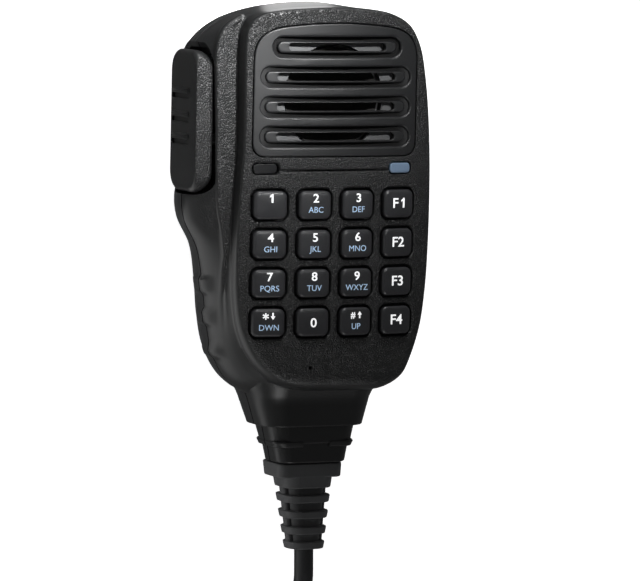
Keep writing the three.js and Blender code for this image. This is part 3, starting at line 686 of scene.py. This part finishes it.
def shell(name, z0, z1):
    """One half of the case, hollow, with the openings that both halves share."""
    whole = combined(case_body(), [neck_body()], "UNION")
    half = combined(whole, [block("half", -60, 60, -70, 90, z0, z1)], "INTERSECT")
    half.name = name
    cuts = [
        case_room(),
        block("neck_room", -10.5, 10.5, -41, -28, 13.6, 26.4),
        loft("ptt_pocket", [ptt_ring(x, -1.2, -1, 4.6, lower=0.1) for x in (-46, -27.8)]),
        loft("ptt_mouth", [mouth_ring(*at) for at in ((-31.7, 0.1), (-32.3, 1.4), (-46, 1.6))]),
        block("ptt_passage", -28, -25, 28.7, 33.3, 17.7, 22.3),
        turned("pin_hole", [(0.99, 9.2), (0.99, 11.4)], *PTT_PIN, 24),
        along_y("boot_hole", [(-40, 10.2, 9.8, 2), (-53.5, 10.2, 9.8, 2)]),
        block("boot_key", -8.2, 8.2, -47, -44, PART_Z - 5.2, PART_Z + 5.2),
    ]
    return combined(half, cuts, "DIFFERENCE")


KEY_ROWS = [
    ["key_1", "key_2", "key_3", "key_f1"],
    ["key_4", "key_5", "key_6", "key_f2"],
    ["key_7", "key_8", "key_9", "key_f3"],
    ["key_star", "key_0", "key_hash", "key_f4"],
]
KEY_PLACES = {
    name: ((column - 1.5) * COLUMN_PITCH, (1.5 - row) * ROW_PITCH)
    for row, names in enumerate(KEY_ROWS)
    for column, name in enumerate(names)
}


def front_shell():
    made = shell("front_case", PART_Z + HALF_GAP, 60)
    w, h, r = KEY_SIZE
    hole = (w + 2 * KEY_GAP, h + 2 * KEY_GAP, r + KEY_GAP)
    holes = [
        pit(name + "_hole", rect_outline(*hole, x, y), CEILING_Z - 2, 0.7)
        for name, (x, y) in KEY_PLACES.items()
    ]
    window = rounded_rect(39, 30, 3, 0, 44)
    groove = rect_outline(31.6, 0.3, 0.14, -0.3, 23.75, count=80)
    cuts = [
        joined("key_holes", holes),
        block("key_room", -23.5, 23.5, -19.8, 19.8, 28.2, CEILING_Z),
        pit("panel_pocket", lambda grow=0: panel_outline(0.15 + grow), PANEL_FLOOR, 0.35),
        loft("speaker_window", [[(x, y, z) for x, y in window] for z in (30, 34)]),
        pit("lens_hole", rect_outline(6.7, 3.2, 1.2, *INDICATOR), 30, 0.3),
        pit("blank_recess", rect_outline(7.1, 3, 1.3, *BLANK), PANEL_FLOOR, 0.7),
        pit("line_groove", groove, PANEL_FLOOR + 1.9, 0.6),
        turned("mic_hole", [(0.45, 30), (0.45, 40)], *MIC_HOLE, 24),
    ]
    made = combined(made, cuts, "DIFFERENCE")
    posts = [
        turned(f"post_{k}", [(3, PART_Z + 0.3), (3, CEILING_Z + 0.5)], x, y, 32)
        for k, (x, y) in enumerate(CASE_SCREWS)
    ]
    bores = [
        turned(f"bore_{k}", [(1.6, PART_Z), (1.6, CEILING_Z - 2.5)], x, y, 24)
        for k, (x, y) in enumerate(CASE_SCREWS)
    ]
    made = combined(made, [joined("posts", posts)], "UNION")
    made = combined(made, [joined("bores", bores)], "DIFFERENCE")
    return finished(shaded(made), "case", GRAINED, "front_shell", slot="grained_plastic")


def rear_shell():
    made = shell("rear_case", -5, PART_Z - HALF_GAP)
    posts = [
        turned(f"rear_post_{k}", [(4.4, BACK_Z + 1.6), (4.4, PART_Z - HALF_GAP)], x, y, 32)
        for k, (x, y) in enumerate(CASE_SCREWS)
    ]
    inside = combined(joined("rear_posts", posts), [case_body()], "INTERSECT")
    made = combined(made, [inside], "UNION")
    screw_bore = [(3.5, 3), (3.5, 5.1), (3.1, 5.6), (3.1, 9.4), (1.7, 9.4), (1.7, 21)]
    bores = [
        turned(f"rear_bore_{k}", screw_bore, x, y, 32) for k, (x, y) in enumerate(CASE_SCREWS)
    ]
    bores.append(turned("button_bore", [(1.7, 4), (1.7, 8.2)], 0, BUTTON_Y, 24))
    made = combined(made, [joined("rear_bores", bores)], "DIFFERENCE")
    return finished(shaded(made), "case", SATIN, "rear_shell", slot="satin_plastic")


# ---- grille, indicator and blank window ----
def grille_panel():
    def island_top(x, y):
        return crown(x) - ISLAND_SINK

    plate = raised("grille", lambda grow=0: panel_outline(grow - 0.05), PANEL_FLOOR + 0.3, crown, 0.3)
    moats, islands, openings = [], [], []
    for k, (y, half) in enumerate(SLOT_ROWS):
        moat = rect_outline(2 * half, SLOT_HIGH, SLOT_HIGH / 2 - 0.02, 0, y, 120)
        moats.append(pit(f"moat_{k}", moat, SLOT_DEPTH_Z, 0.6))
        island = rect_outline(2 * half - 2.4, ISLAND_HIGH, 1.45, 0, y, 120)
        islands.append(raised(f"island_{k}", island, SLOT_DEPTH_Z - 0.5, island_top, 0.45))
        opening = rect_outline(2 * half - 8.6, OPENING_HIGH, 1, 0, y, 100)
        openings.append(pit(f"opening_{k}", opening, 30, 0.2, top=island_top))
    made = combined(plate, [joined("moats", moats)], "DIFFERENCE")
    made = combined(made, [joined("islands", islands)], "UNION")
    made = combined(made, [joined("openings", openings)], "DIFFERENCE")
    return finished(shaded(made), "case", GRILLE, "grille_panel", slot="satin_plastic")


def indicator():
    window = rect_outline(6.1, 2.6, 1, *INDICATOR)
    lens = raised("indicator", window, 32.4, lambda x, y: crown(x) + 0.12, 0.45)
    pipe = turned("light_pipe", [(1, 29.5), (1, 33)], *INDICATOR, 24)
    made = combined(lens, [pipe], "UNION")
    return finished(shaded(made), "case", LENS, "indicator_lens", slot="lens")


def blank_window():
    window = rect_outline(6.6, 2.6, 1.15, *BLANK)
    made = raised("blank_panel", window, PANEL_FLOOR + 0.3, lambda x, y: 34.2, 0.25)
    return finished(shaded(made), "case", SATIN, "blank_window", slot="satin_plastic")


# ---- keys and their legends ----
def key_top(x, y, key_x, key_y):
    """Height of a key's slightly domed top."""
    return crown(x) + KEY_PROUD - 0.12 * (((x - key_x) / 4.4) ** 2 + ((y - key_y) / 3.6) ** 2)


CAPITAL_HEIGHT = 0.7  # of a letter of size 1
LETTER_WIDTH = 0.95
DIGIT_WIDTH = 1.1
DIGIT_BOLD = 0.012
INK_HALF = 0.03  # half of the print's thickness


def letters(text, high, x, y, bold, wide=LETTER_WIDTH):
    """Some text as a closed mesh in millimetres, centred on (x, y): points and faces."""
    curve = bpy.data.curves.new("letters", "FONT")
    curve.body = text
    curve.size = 1
    curve.extrude = 0.02
    curve.offset = bold
    curve.resolution_u = 4
    holder = new_object("letters", curve)
    graph = bpy.context.evaluated_depsgraph_get()
    mesh = bpy.data.meshes.new_from_object(holder.evaluated_get(graph))
    points = np.array([v.co for v in mesh.vertices])
    faces = [tuple(f.vertices) for f in mesh.polygons]
    bpy.data.objects.remove(holder)
    low, up = points.min(axis=0), points.max(axis=0)
    scale = high / CAPITAL_HEIGHT
    middle = ((low[0] + up[0]) / 2, CAPITAL_HEIGHT / 2)
    points[:, :2] = (points[:, :2] - middle) * scale * (wide, 1) + (x, y)
    points[:, 2] = np.where(points[:, 2] > 0, INK_HALF, -INK_HALF)
    return points, faces


def flat_mark(line, x, y, size=1, way=1):
    """A closed mesh of one outline: points and faces."""
    count = len(line)
    points = [(x + size * u, y + size * way * v, z) for z in (-INK_HALF, INK_HALF) for u, v in line]
    faces = [tuple(range(count)), tuple(range(count, 2 * count))]
    faces += [(i, (i + 1) % count, count + (i + 1) % count, count + i) for i in range(count)]
    return np.array(points), faces


ARROW = [(-0.2, -0.9), (0.2, -0.9), (0.2, 0), (0.62, 0), (0, 0.9), (-0.62, 0), (-0.2, 0)]
DIGIT_ONE = [
    (0, -0.5), (0.21, -0.5), (0.21, 0.5), (0.05, 0.5), (-0.04, 0.38), (-0.2, 0.28), (-0.2, 0.11),
    (-0.1, 0.15), (0, 0.22),
]


def star(x, y, size):
    line = []
    for k in range(6):
        along = math.radians(90 + 60 * k)
        for turn, reach in ((-12, 1), (12, 1), (30, 0.32)):
            a = along + math.radians(turn)
            line.append((reach * math.cos(a), reach * math.sin(a)))
    return flat_mark(line, x, y, size)


def legend(name, place, marks, look):
    """Printed marks that lie on the top of a key."""
    points, faces = [], []
    for mark_points, mark_faces in marks:
        faces += [tuple(len(points) + i for i in f) for f in mark_faces]
        points += [
            (place[0] + u, place[1] + v, key_top(place[0] + u, place[1] + v, *place) + w)
            for u, v, w in mark_points
        ]
    made = closed_mesh(name, points, faces)
    return made, look


WORDS = {"key_2": "ABC", "key_3": "DEF", "key_4": "GHI", "key_5": "JKL", "key_6": "MNO",
         "key_7": "PQRS", "key_8": "TUV", "key_9": "WXYZ", "key_star": "DWN", "key_hash": "UP"}


def key_marks(name):
    """White marks and blue marks of a key, about its middle."""
    symbol = name.removeprefix("key_")
    if symbol == "f1":
        letter = letters("F", 2.5, -1.02, 0.25, DIGIT_BOLD, DIGIT_WIDTH)
        return [letter, flat_mark(DIGIT_ONE, 1.1, 0.25, 2.5)], []
    if symbol.startswith("f"):
        return [letters(symbol.upper(), 2.5, 0, 0.25, DIGIT_BOLD, DIGIT_WIDTH)], []
    if symbol == "0":
        return [letters("0", 2.3, 0, 0, DIGIT_BOLD, DIGIT_WIDTH)], []
    if symbol == "1":
        return [flat_mark(DIGIT_ONE, 0, 1.8, 2.2)], []
    if symbol == "star":
        white = [star(-0.9, 1.75, 0.85), flat_mark(ARROW, 1, 1.75, way=-1)]
    elif symbol == "hash":
        white = [letters("#", 1.6, -0.9, 1.75, 0.02), flat_mark(ARROW, 1, 1.75)]
    else:
        white = [letters(symbol, 2.15, 0, 1.8, DIGIT_BOLD, DIGIT_WIDTH)]
    return white, [letters(WORDS[name], 1.5, 0, -1.15, 0, 1)]


def keys():
    w, h, r = KEY_SIZE
    for name, place in KEY_PLACES.items():
        x, y = place
        outline = rect_outline(w, h, r, x, y)
        cap = raised(name + "_cap", outline, 31, lambda u, v: key_top(u, v, *place), 0.75)
        flange = block(name + "_flange", x - 5.2, x + 5.2, y - 4.4, y + 4.4, 30.7, 31.5)
        stem = turned(name + "_stem", [(1.6, 29.7), (1.6, 31)], x, y, 24)
        made = combined(cap, [flange, stem], "UNION")
        finished(shaded(made), name, KEYCAP, name, slot="keycap")
        white, blue = key_marks(name)
        for marks, suffix, look in ((white, "_digit", INK_WHITE_PAINTED_GLOW), (blue, "_letters", INK_BLUE_PAINTED_GLOW)):
            if marks:
                print_piece, ink = legend(name + suffix, place, marks, look)
                finished(print_piece, name, ink, slot="keycap")


# ---- push-to-talk key ----
def ptt_key():
    inner, outer = -30.8, -35.95
    # How far the cap is from its full outline at each x, and its corner radius: first round its inner
    # edge, then round the outer one.
    levels = [
        (inner, 6.4, 2.6, 2.6), (-31.05, 4.8, 1.6, 3), (-31.5, 3.2, 0.8, 3.6), (-32.1, 1.8, 0.3, 4.2),
        (-33, 0.6, 0, 4.4), (-34, 0, 0, 4.4), (-34.9, 0, 0, 4.4), (-35.4, 0.5, 0.15, 4.4),
        (-35.75, 1.4, 0.6, 4.2), (outer, 2.8, 1.3, 3.8),
    ]
    made = loft("ptt_cap", [ptt_ring(*level) for level in levels])
    ribs = []
    for k, y in enumerate(PTT_RIBS):
        rib = [
            [(x, u, v) for u, v in rounded_rect(1.5 - less, 10.6 - less, 0.45, y, 18)]
            for x, less in ((-35.4, 0), (-36.15, 0), (-36.35, 0.5))
        ]
        ribs.append(loft(f"ptt_rib_{k}", rib))
    recesses = []
    for k, y in enumerate(PTT_RIBS):
        cut = [
            [(x, u, v) for u, v in rounded_rect(1.3, 10.6, 0.45, y - 1.45, 18)]
            for x in (-35.35, -38)
        ]
        recesses.append(loft(f"ptt_recess_{k}", cut))
    made = combined(made, [joined("ptt_recesses", recesses)], "DIFFERENCE")
    parts = [
        joined("ptt_ribs", ribs),
        block("ptt_eye", -31.4, -28.3, 48.9, 52.3, 13.4, 26),
        block("ptt_post", -31.4, -27.1, 29.6, 32.4, 18.6, 21.4),
    ]
    made = combined(made, parts, "UNION")
    bore = turned("ptt_bore", [(0.99, 5), (0.99, 35)], *PTT_PIN, 24)
    made = combined(made, [bore], "DIFFERENCE")
    return finished(shaded(made), "ptt_key", GRAINED, "ptt_key", slot="grained_plastic")


# ---- hang-up button and screws ----
def hanger_button():
    profile = [
        (6.6, 0), (7.2, 0.15), (7.5, 0.6), (7.5, 1.5), (7.3, 1.9), (6.9, 2), (4.5, 2), (4.2, 2.3),
        (4.2, 4.7), (1.7, 4.7), (1.7, 1.2),
    ]
    made = turned("button", profile, 0, BUTTON_Y, 64)
    return finished(shaded(made), "case", SATIN, "hanger_button", slot="satin_plastic")


def case_screws():
    for k, (x, y) in enumerate(CASE_SCREWS):
        profile = [(1.9, 6.8), (2.5, 7), (2.8, 7.5), (2.8, 9.1), (1.3, 9.1), (1.3, 27.5), (0.3, 28.5)]
        made = turned(f"screw_{k + 1}", profile, x, y, 32)
        cross = [
            block("slot_a", x - 1.4, x + 1.4, y - 0.28, y + 0.28, 6, 8),
            block("slot_b", x - 0.28, x + 0.28, y - 1.4, y + 1.4, 6, 8),
        ]
        made = combined(made, cross, "DIFFERENCE")
        finished(shaded(made), "case", STEEL, f"case_screw_{k + 1}", slot="steel")


# ---- strain relief ----
def boot_axis(y):
    """Height of the middle of the strain relief, which rises towards the cord."""
    return 19.2 + (-57 - y) * 0.093


def boot_width(y):
    """Width of the strain relief's rings, which taper towards the cord."""
    return 13.8 + (y + 57) * 3.7 / 18.3


def cord_boot():
    collar = softened([(-52.8, 18.4, 12.8, 2.6), (-56.6, 18, 12.4, 2.6)], 0.45)
    parts = [
        along_y("boot_core", [(-56, 10.6, 9.2, 3), (-74.8, 7.4, 7, 3)], boot_axis),
        along_y("boot_foot", [(-44.3, 9.5, 9.1, 1.8), (-52.8, 9.5, 9.1, 1.8)]),
        block("boot_ears", -7.8, 7.8, -46.7, -44.3, PART_Z - 4.8, PART_Z + 4.8),
        along_y("boot_collar", collar, boot_axis),
        along_y("boot_spine", [(-56, 13.2, 3.8, 1.2), (-74.8, 9.6, 3, 1.2)], boot_axis),
    ]
    for k, (y, thick) in enumerate(((-59.4, 3.4), (-63.2, 2), (-67.3, 2), (-71.4, 2), (BOOT_END, 2))):
        wide = [boot_width(y + t) for t in (thick, 0)]
        ring = [(y + t, w, w - 1.7, 3.6) for t, w in zip((thick, 0), wide)]
        parts.append(along_y(f"boot_ring_{k}", softened(ring, 0.35), boot_axis))
    made = combined(parts[0], parts[1:], "UNION")
    bore = along_y("boot_bore", [(-80, 5.6, 5.6, 2.79), (-40, 5.6, 5.6, 2.79)], boot_axis, per_corner=8)
    made = combined(made, [bore], "DIFFERENCE")
    made.name = "strain_relief"
    return finished(shaded(made), "case", RUBBER, "cord_boot", slot="rubber")


# ---- cord ----
TAIL_ROUTE = [
    (0, -75.6, 21), (0, -80, 21.2), (0, -86, 20.7), (-1.5, -94, 18.6), (-5, -103, 15),
    (-11, -111.5, 11.8), (-17, -119.5, 9.8), (-21, -126, 9.2), (-22, -130.5, 9.2), (-22, -134, 9.2),
]
PLUG_ROUTE = [
    (2, -134, 9.2), (2, -130.5, 9.2), (2, -127, 8.7), (3.5, -121, 7.2), (8.5, -116, 5.6),
    (15, -114, 4.4), (21.5, -116, 3.8), (26.5, -121, 3.5), (28, -128, 3.5), (28, -136, 3.5),
    (28, -143, 3.5),
]
STRAIGHT_PITCH = 5.65
FOLD_PITCH = 9.0
POINTS_PER_TURN = 14


def curly_points():
    """The wire's centre line where it is coiled: a helix along a line folded once."""
    left, right = CURLY_X
    near, far = CURLY_Y
    fold = (right - left) / 2
    straight, bend = near - far, math.pi * fold
    total, end = 2 * straight + bend, straight + bend
    step = 0.25
    points, phase, next_phase = [], 0.0, 0.0
    for s in np.arange(0, total, step):
        if s < straight:
            centre, side = (left, near - s), (1, 0)
        elif s < end:
            a = math.pi + (s - straight) / fold
            centre = (left + fold + fold * math.cos(a), far + fold * math.sin(a))
            side = (-math.cos(a), -math.sin(a))
        else:
            centre, side = (right, far + s - end), (-1, 0)
        in_bend = eased(s, straight - 8, straight) * (1 - eased(s, end, end + 8))
        phase += 2 * math.pi * step / (STRAIGHT_PITCH + (FOLD_PITCH - STRAIGHT_PITCH) * in_bend)
        if phase < next_phase:
            continue
        next_phase += 2 * math.pi / POINTS_PER_TURN
        ends = min(s, total - s)
        if ends < 2:
            continue
        radius = COIL_R * eased(ends, 0, 7)
        from_tie = centre[1] - sum(TIE_Y) / 2
        sag = 1.5 * eased(ends, 0, 18) * (1 - math.exp(-((from_tie / 14) ** 2)))
        points.append(
            (
                centre[0] + side[0] * radius * math.cos(phase),
                centre[1] + side[1] * radius * math.cos(phase),
                CURLY_Z - sag + radius * math.sin(phase),
            )
        )
    return points


def spread_route(route, spacing=3.5):
    """The route with points between its own, on the smooth curve through them."""
    p = np.array(route, float)
    ends = np.vstack([2 * p[0] - p[1], p, 2 * p[-1] - p[-2]])
    made = []
    for a, b, c, d in zip(ends, ends[1:], ends[2:], ends[3:]):
        count = max(1, round(np.linalg.norm(c - b) / spacing))
        square, cube = 2 * a - 5 * b + 4 * c - d, 3 * b - a - 3 * c + d
        for t in np.linspace(0, 1, count, endpoint=False):
            made.append(0.5 * (2 * b + (c - a) * t + square * t**2 + cube * t**3))
    return [*map(tuple, made), tuple(p[-1])]


def cord():
    points = [*spread_route(TAIL_ROUTE), *curly_points(), *spread_route(PLUG_ROUTE)]
    curve = bpy.data.curves.new("cord", "CURVE")
    curve.dimensions = "3D"
    curve.bevel_depth = CORD_R * MM
    curve.bevel_resolution = 5
    curve.resolution_u = 3
    curve.use_fill_caps = True
    line = curve.splines.new("POLY")
    line.points.add(len(points) - 1)
    for slot, p in zip(line.points, points):
        slot.co = (*placed(*p), 1)
    line.use_smooth = True
    made = new_object("cord", curve)
    return finished(made, "case", CORD_LOOK, "cord_tail", "curly_cord", "plug_tail", slot="rubber")


def cord_tie():
    """A woven strap round both runs of the curly cord."""
    left, right = CURLY_X
    middle, width = (left + right) / 2, right - left + 15

    def loop(grow):
        return evenly(rounded_rect(width + grow, 15 + grow, 7.4 + grow / 2, middle, CURLY_Z), 120)

    outer, inner = loop(2.4), loop(0.9)
    y0, y1 = TIE_Y
    rings = [
        [(x, y, z) for x, z in line]
        for line, y in ((inner, y0), (outer, y0 + 0.25), (outer, y1 - 0.25), (inner, y1))
    ]
    count = len(outer)
    points = [p for ring in rings for p in ring]
    made = closed_mesh("tie_strap", points, band_faces(count, len(rings), closed=True))
    return finished(shaded(made), "case", STRAP, "cord_tie", slot="rubber")


# ---- camera, lights and floor ----
CAMERA_TURNS = (25.4, 5.0, 1.27)  # yaw, pitch and roll, in degrees
CAMERA_AWAY = 1.2767  # metres from the middle of the keypad's tops
KEY_TOPS_Z = 37
LENS_MM, SENSOR_MM = 281.5, 36
SHIFT = (-0.0257, -0.0420)
WORLD_STRENGTH = 0.105
FLOOR_HALF = 4000
FLOOR_TOP_Z = -0.6


def camera():
    """A long lens above the face, 25 degrees to its left and 5 degrees towards the speaker's end."""
    yaw, pitch, roll = (math.radians(a) for a in CAMERA_TURNS)
    back = Vector((-math.sin(yaw) * math.cos(pitch), math.sin(pitch), math.cos(yaw) * math.cos(pitch)))
    right = Vector((math.cos(yaw), 0, math.sin(yaw)))
    up = back.cross(right)
    level, upright = right, up
    right = level * math.cos(roll) + upright * math.sin(roll)
    up = upright * math.cos(roll) - level * math.sin(roll)
    place = placed(0, 0, KEY_TOPS_Z) + back * CAMERA_AWAY
    data = bpy.data.cameras.new("camera")
    data.lens = LENS_MM
    data.sensor_width = SENSOR_MM
    data.shift_x, data.shift_y = SHIFT
    data.clip_end = 20
    made = new_object("camera", data)
    made.matrix_world = Matrix(
        [[right[k], up[k], back[k], place[k]] for k in range(3)] + [[0, 0, 0, 1]]
    )
    bpy.context.scene.camera = made


def area_light(name, place, target, size, power):
    data = bpy.data.lights.new(name, "AREA")
    data.shape = "RECTANGLE"
    data.size, data.size_y = size
    data.energy = power
    aimed(new_object(name, data), place, target)


def spot_light(name, place, target, wide, radius, power):
    """A lamp whose light fades from its middle to its rim."""
    data = bpy.data.lights.new(name, "SPOT")
    data.spot_size = math.radians(wide)
    data.spot_blend = 1
    data.shadow_soft_size = radius
    data.energy = power
    aimed(new_object(name, data), place, target)


def aimed(o, place, target):
    o.location = place
    o.rotation_euler = (Vector(target) - Vector(place)).to_track_quat("-Z", "Y").to_euler()
    o.visible_camera = False


def studio():
    scene = bpy.context.scene
    scene.view_settings.view_transform = "Standard"
    world = bpy.data.worlds.new("studio")
    world.use_nodes = True
    background = world.node_tree.nodes["Background"]
    background.inputs["Color"].default_value = (1, 1, 1, 1)
    background.inputs["Strength"].default_value = WORLD_STRENGTH
    scene.world = world
    area_light("key_light", (0.05, 1.5, 0.35), (0, 0, 0), (0.3, 0.15), 12)
    area_light("low_light", (-0.1, -1.3, 0.7), (0, -0.05, 0), (0.6, 0.5), 5)
    area_light("left_light", (-1.4, -0.25, 0.65), (0, 0, 0), (0.25, 0.8), 0.8)
    area_light("bounce_light", (-0.165, -0.1, 0.0005), (-0.165, -0.1, 1), (0.25, 0.22), 0.2)
    area_light("end_light", placed(4, 84, 0.5), placed(4, 84, 100), (0.022, 0.03), 0.0045)
    spot_light("side_light", (-0.5, 1.1, 1), placed(-30, 74, 30), 3.6, 0.06, 40)
    spot_light("top_light", (0.18, 0.79, 1.54), placed(-24, 76, 30), 3.4, 0.06, 430)
    spot_light("corner_light", (0.18, 0.79, 1.54), placed(-34, 66, 30), 1.8, 0.03, 620)
    far = FLOOR_HALF
    corners = [(x, y, FLOOR_TOP_Z) for x, y in ((-far, -far), (far, -far), (far, far), (-far, far))]
    floor = closed_mesh("floor", corners, [(0, 1, 2, 3)])
    paper = plain(
        "floor", (0.9, 0.9, 0.9), 0.8, vary=0.01, grain=2, depth=0.01,
        Emission_Color=(1, 1, 1, 1), Emission_Strength=0.9,
    )
    floor.data.materials.append(paper)
    # The glossy black case would otherwise mirror the white floor in its sides.
    floor.visible_glossy = False


# ---- the assembly ----
camera()
wire = cord()
tie = cord_tie()
front_shell()
rear_shell()
grille_panel()
indicator()
blank_window()
keys()
ptt_key()
hanger_button()
case_screws()
cord_boot()

CAD_LOOKS = {
    "speaker_gasket": FOAM,
    "speaker_basket": STEEL,
    "speaker_cone": PAPER,
    "speaker_magnet": STEEL,
    "indicator_led": WHITE_PLASTIC,
    "circuit_board": BOARD,
    "keypad_web": RUBBER,
    "ptt_pivot_pin": STEEL,
    "ptt_plunger": WHITE_PLASTIC,
    "ptt_switch": SATIN,
    "ptt_switch_board": BOARD,
    "mic_capsule": STEEL,
    "mic_grommet": RUBBER,
    "board_screw_1": STEEL,
    "board_screw_2": STEEL,
    "hanger_screw": STEEL,
    "cord_clamp": SATIN,
    "cord_header": WHITE_PLASTIC,
    "cord_inner": CORD_LOOK,
    "plug_boot": RUBBER,
    "plug_body": CLEAR,
    "plug_latch": CLEAR,
    "plug_contacts": BRASS,
}
for node_name, look in CAD_LOOKS.items():
    cad_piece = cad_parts[node_name]
    cad_piece.data.materials.clear()
    cad_piece.data.materials.append(look)
    bevel = cad_piece.modifiers.new("edges", "BEVEL")
    bevel.width = 0.12 * MM
    bevel.segments = 2
    bevel.limit_method = "ANGLE"

studio()
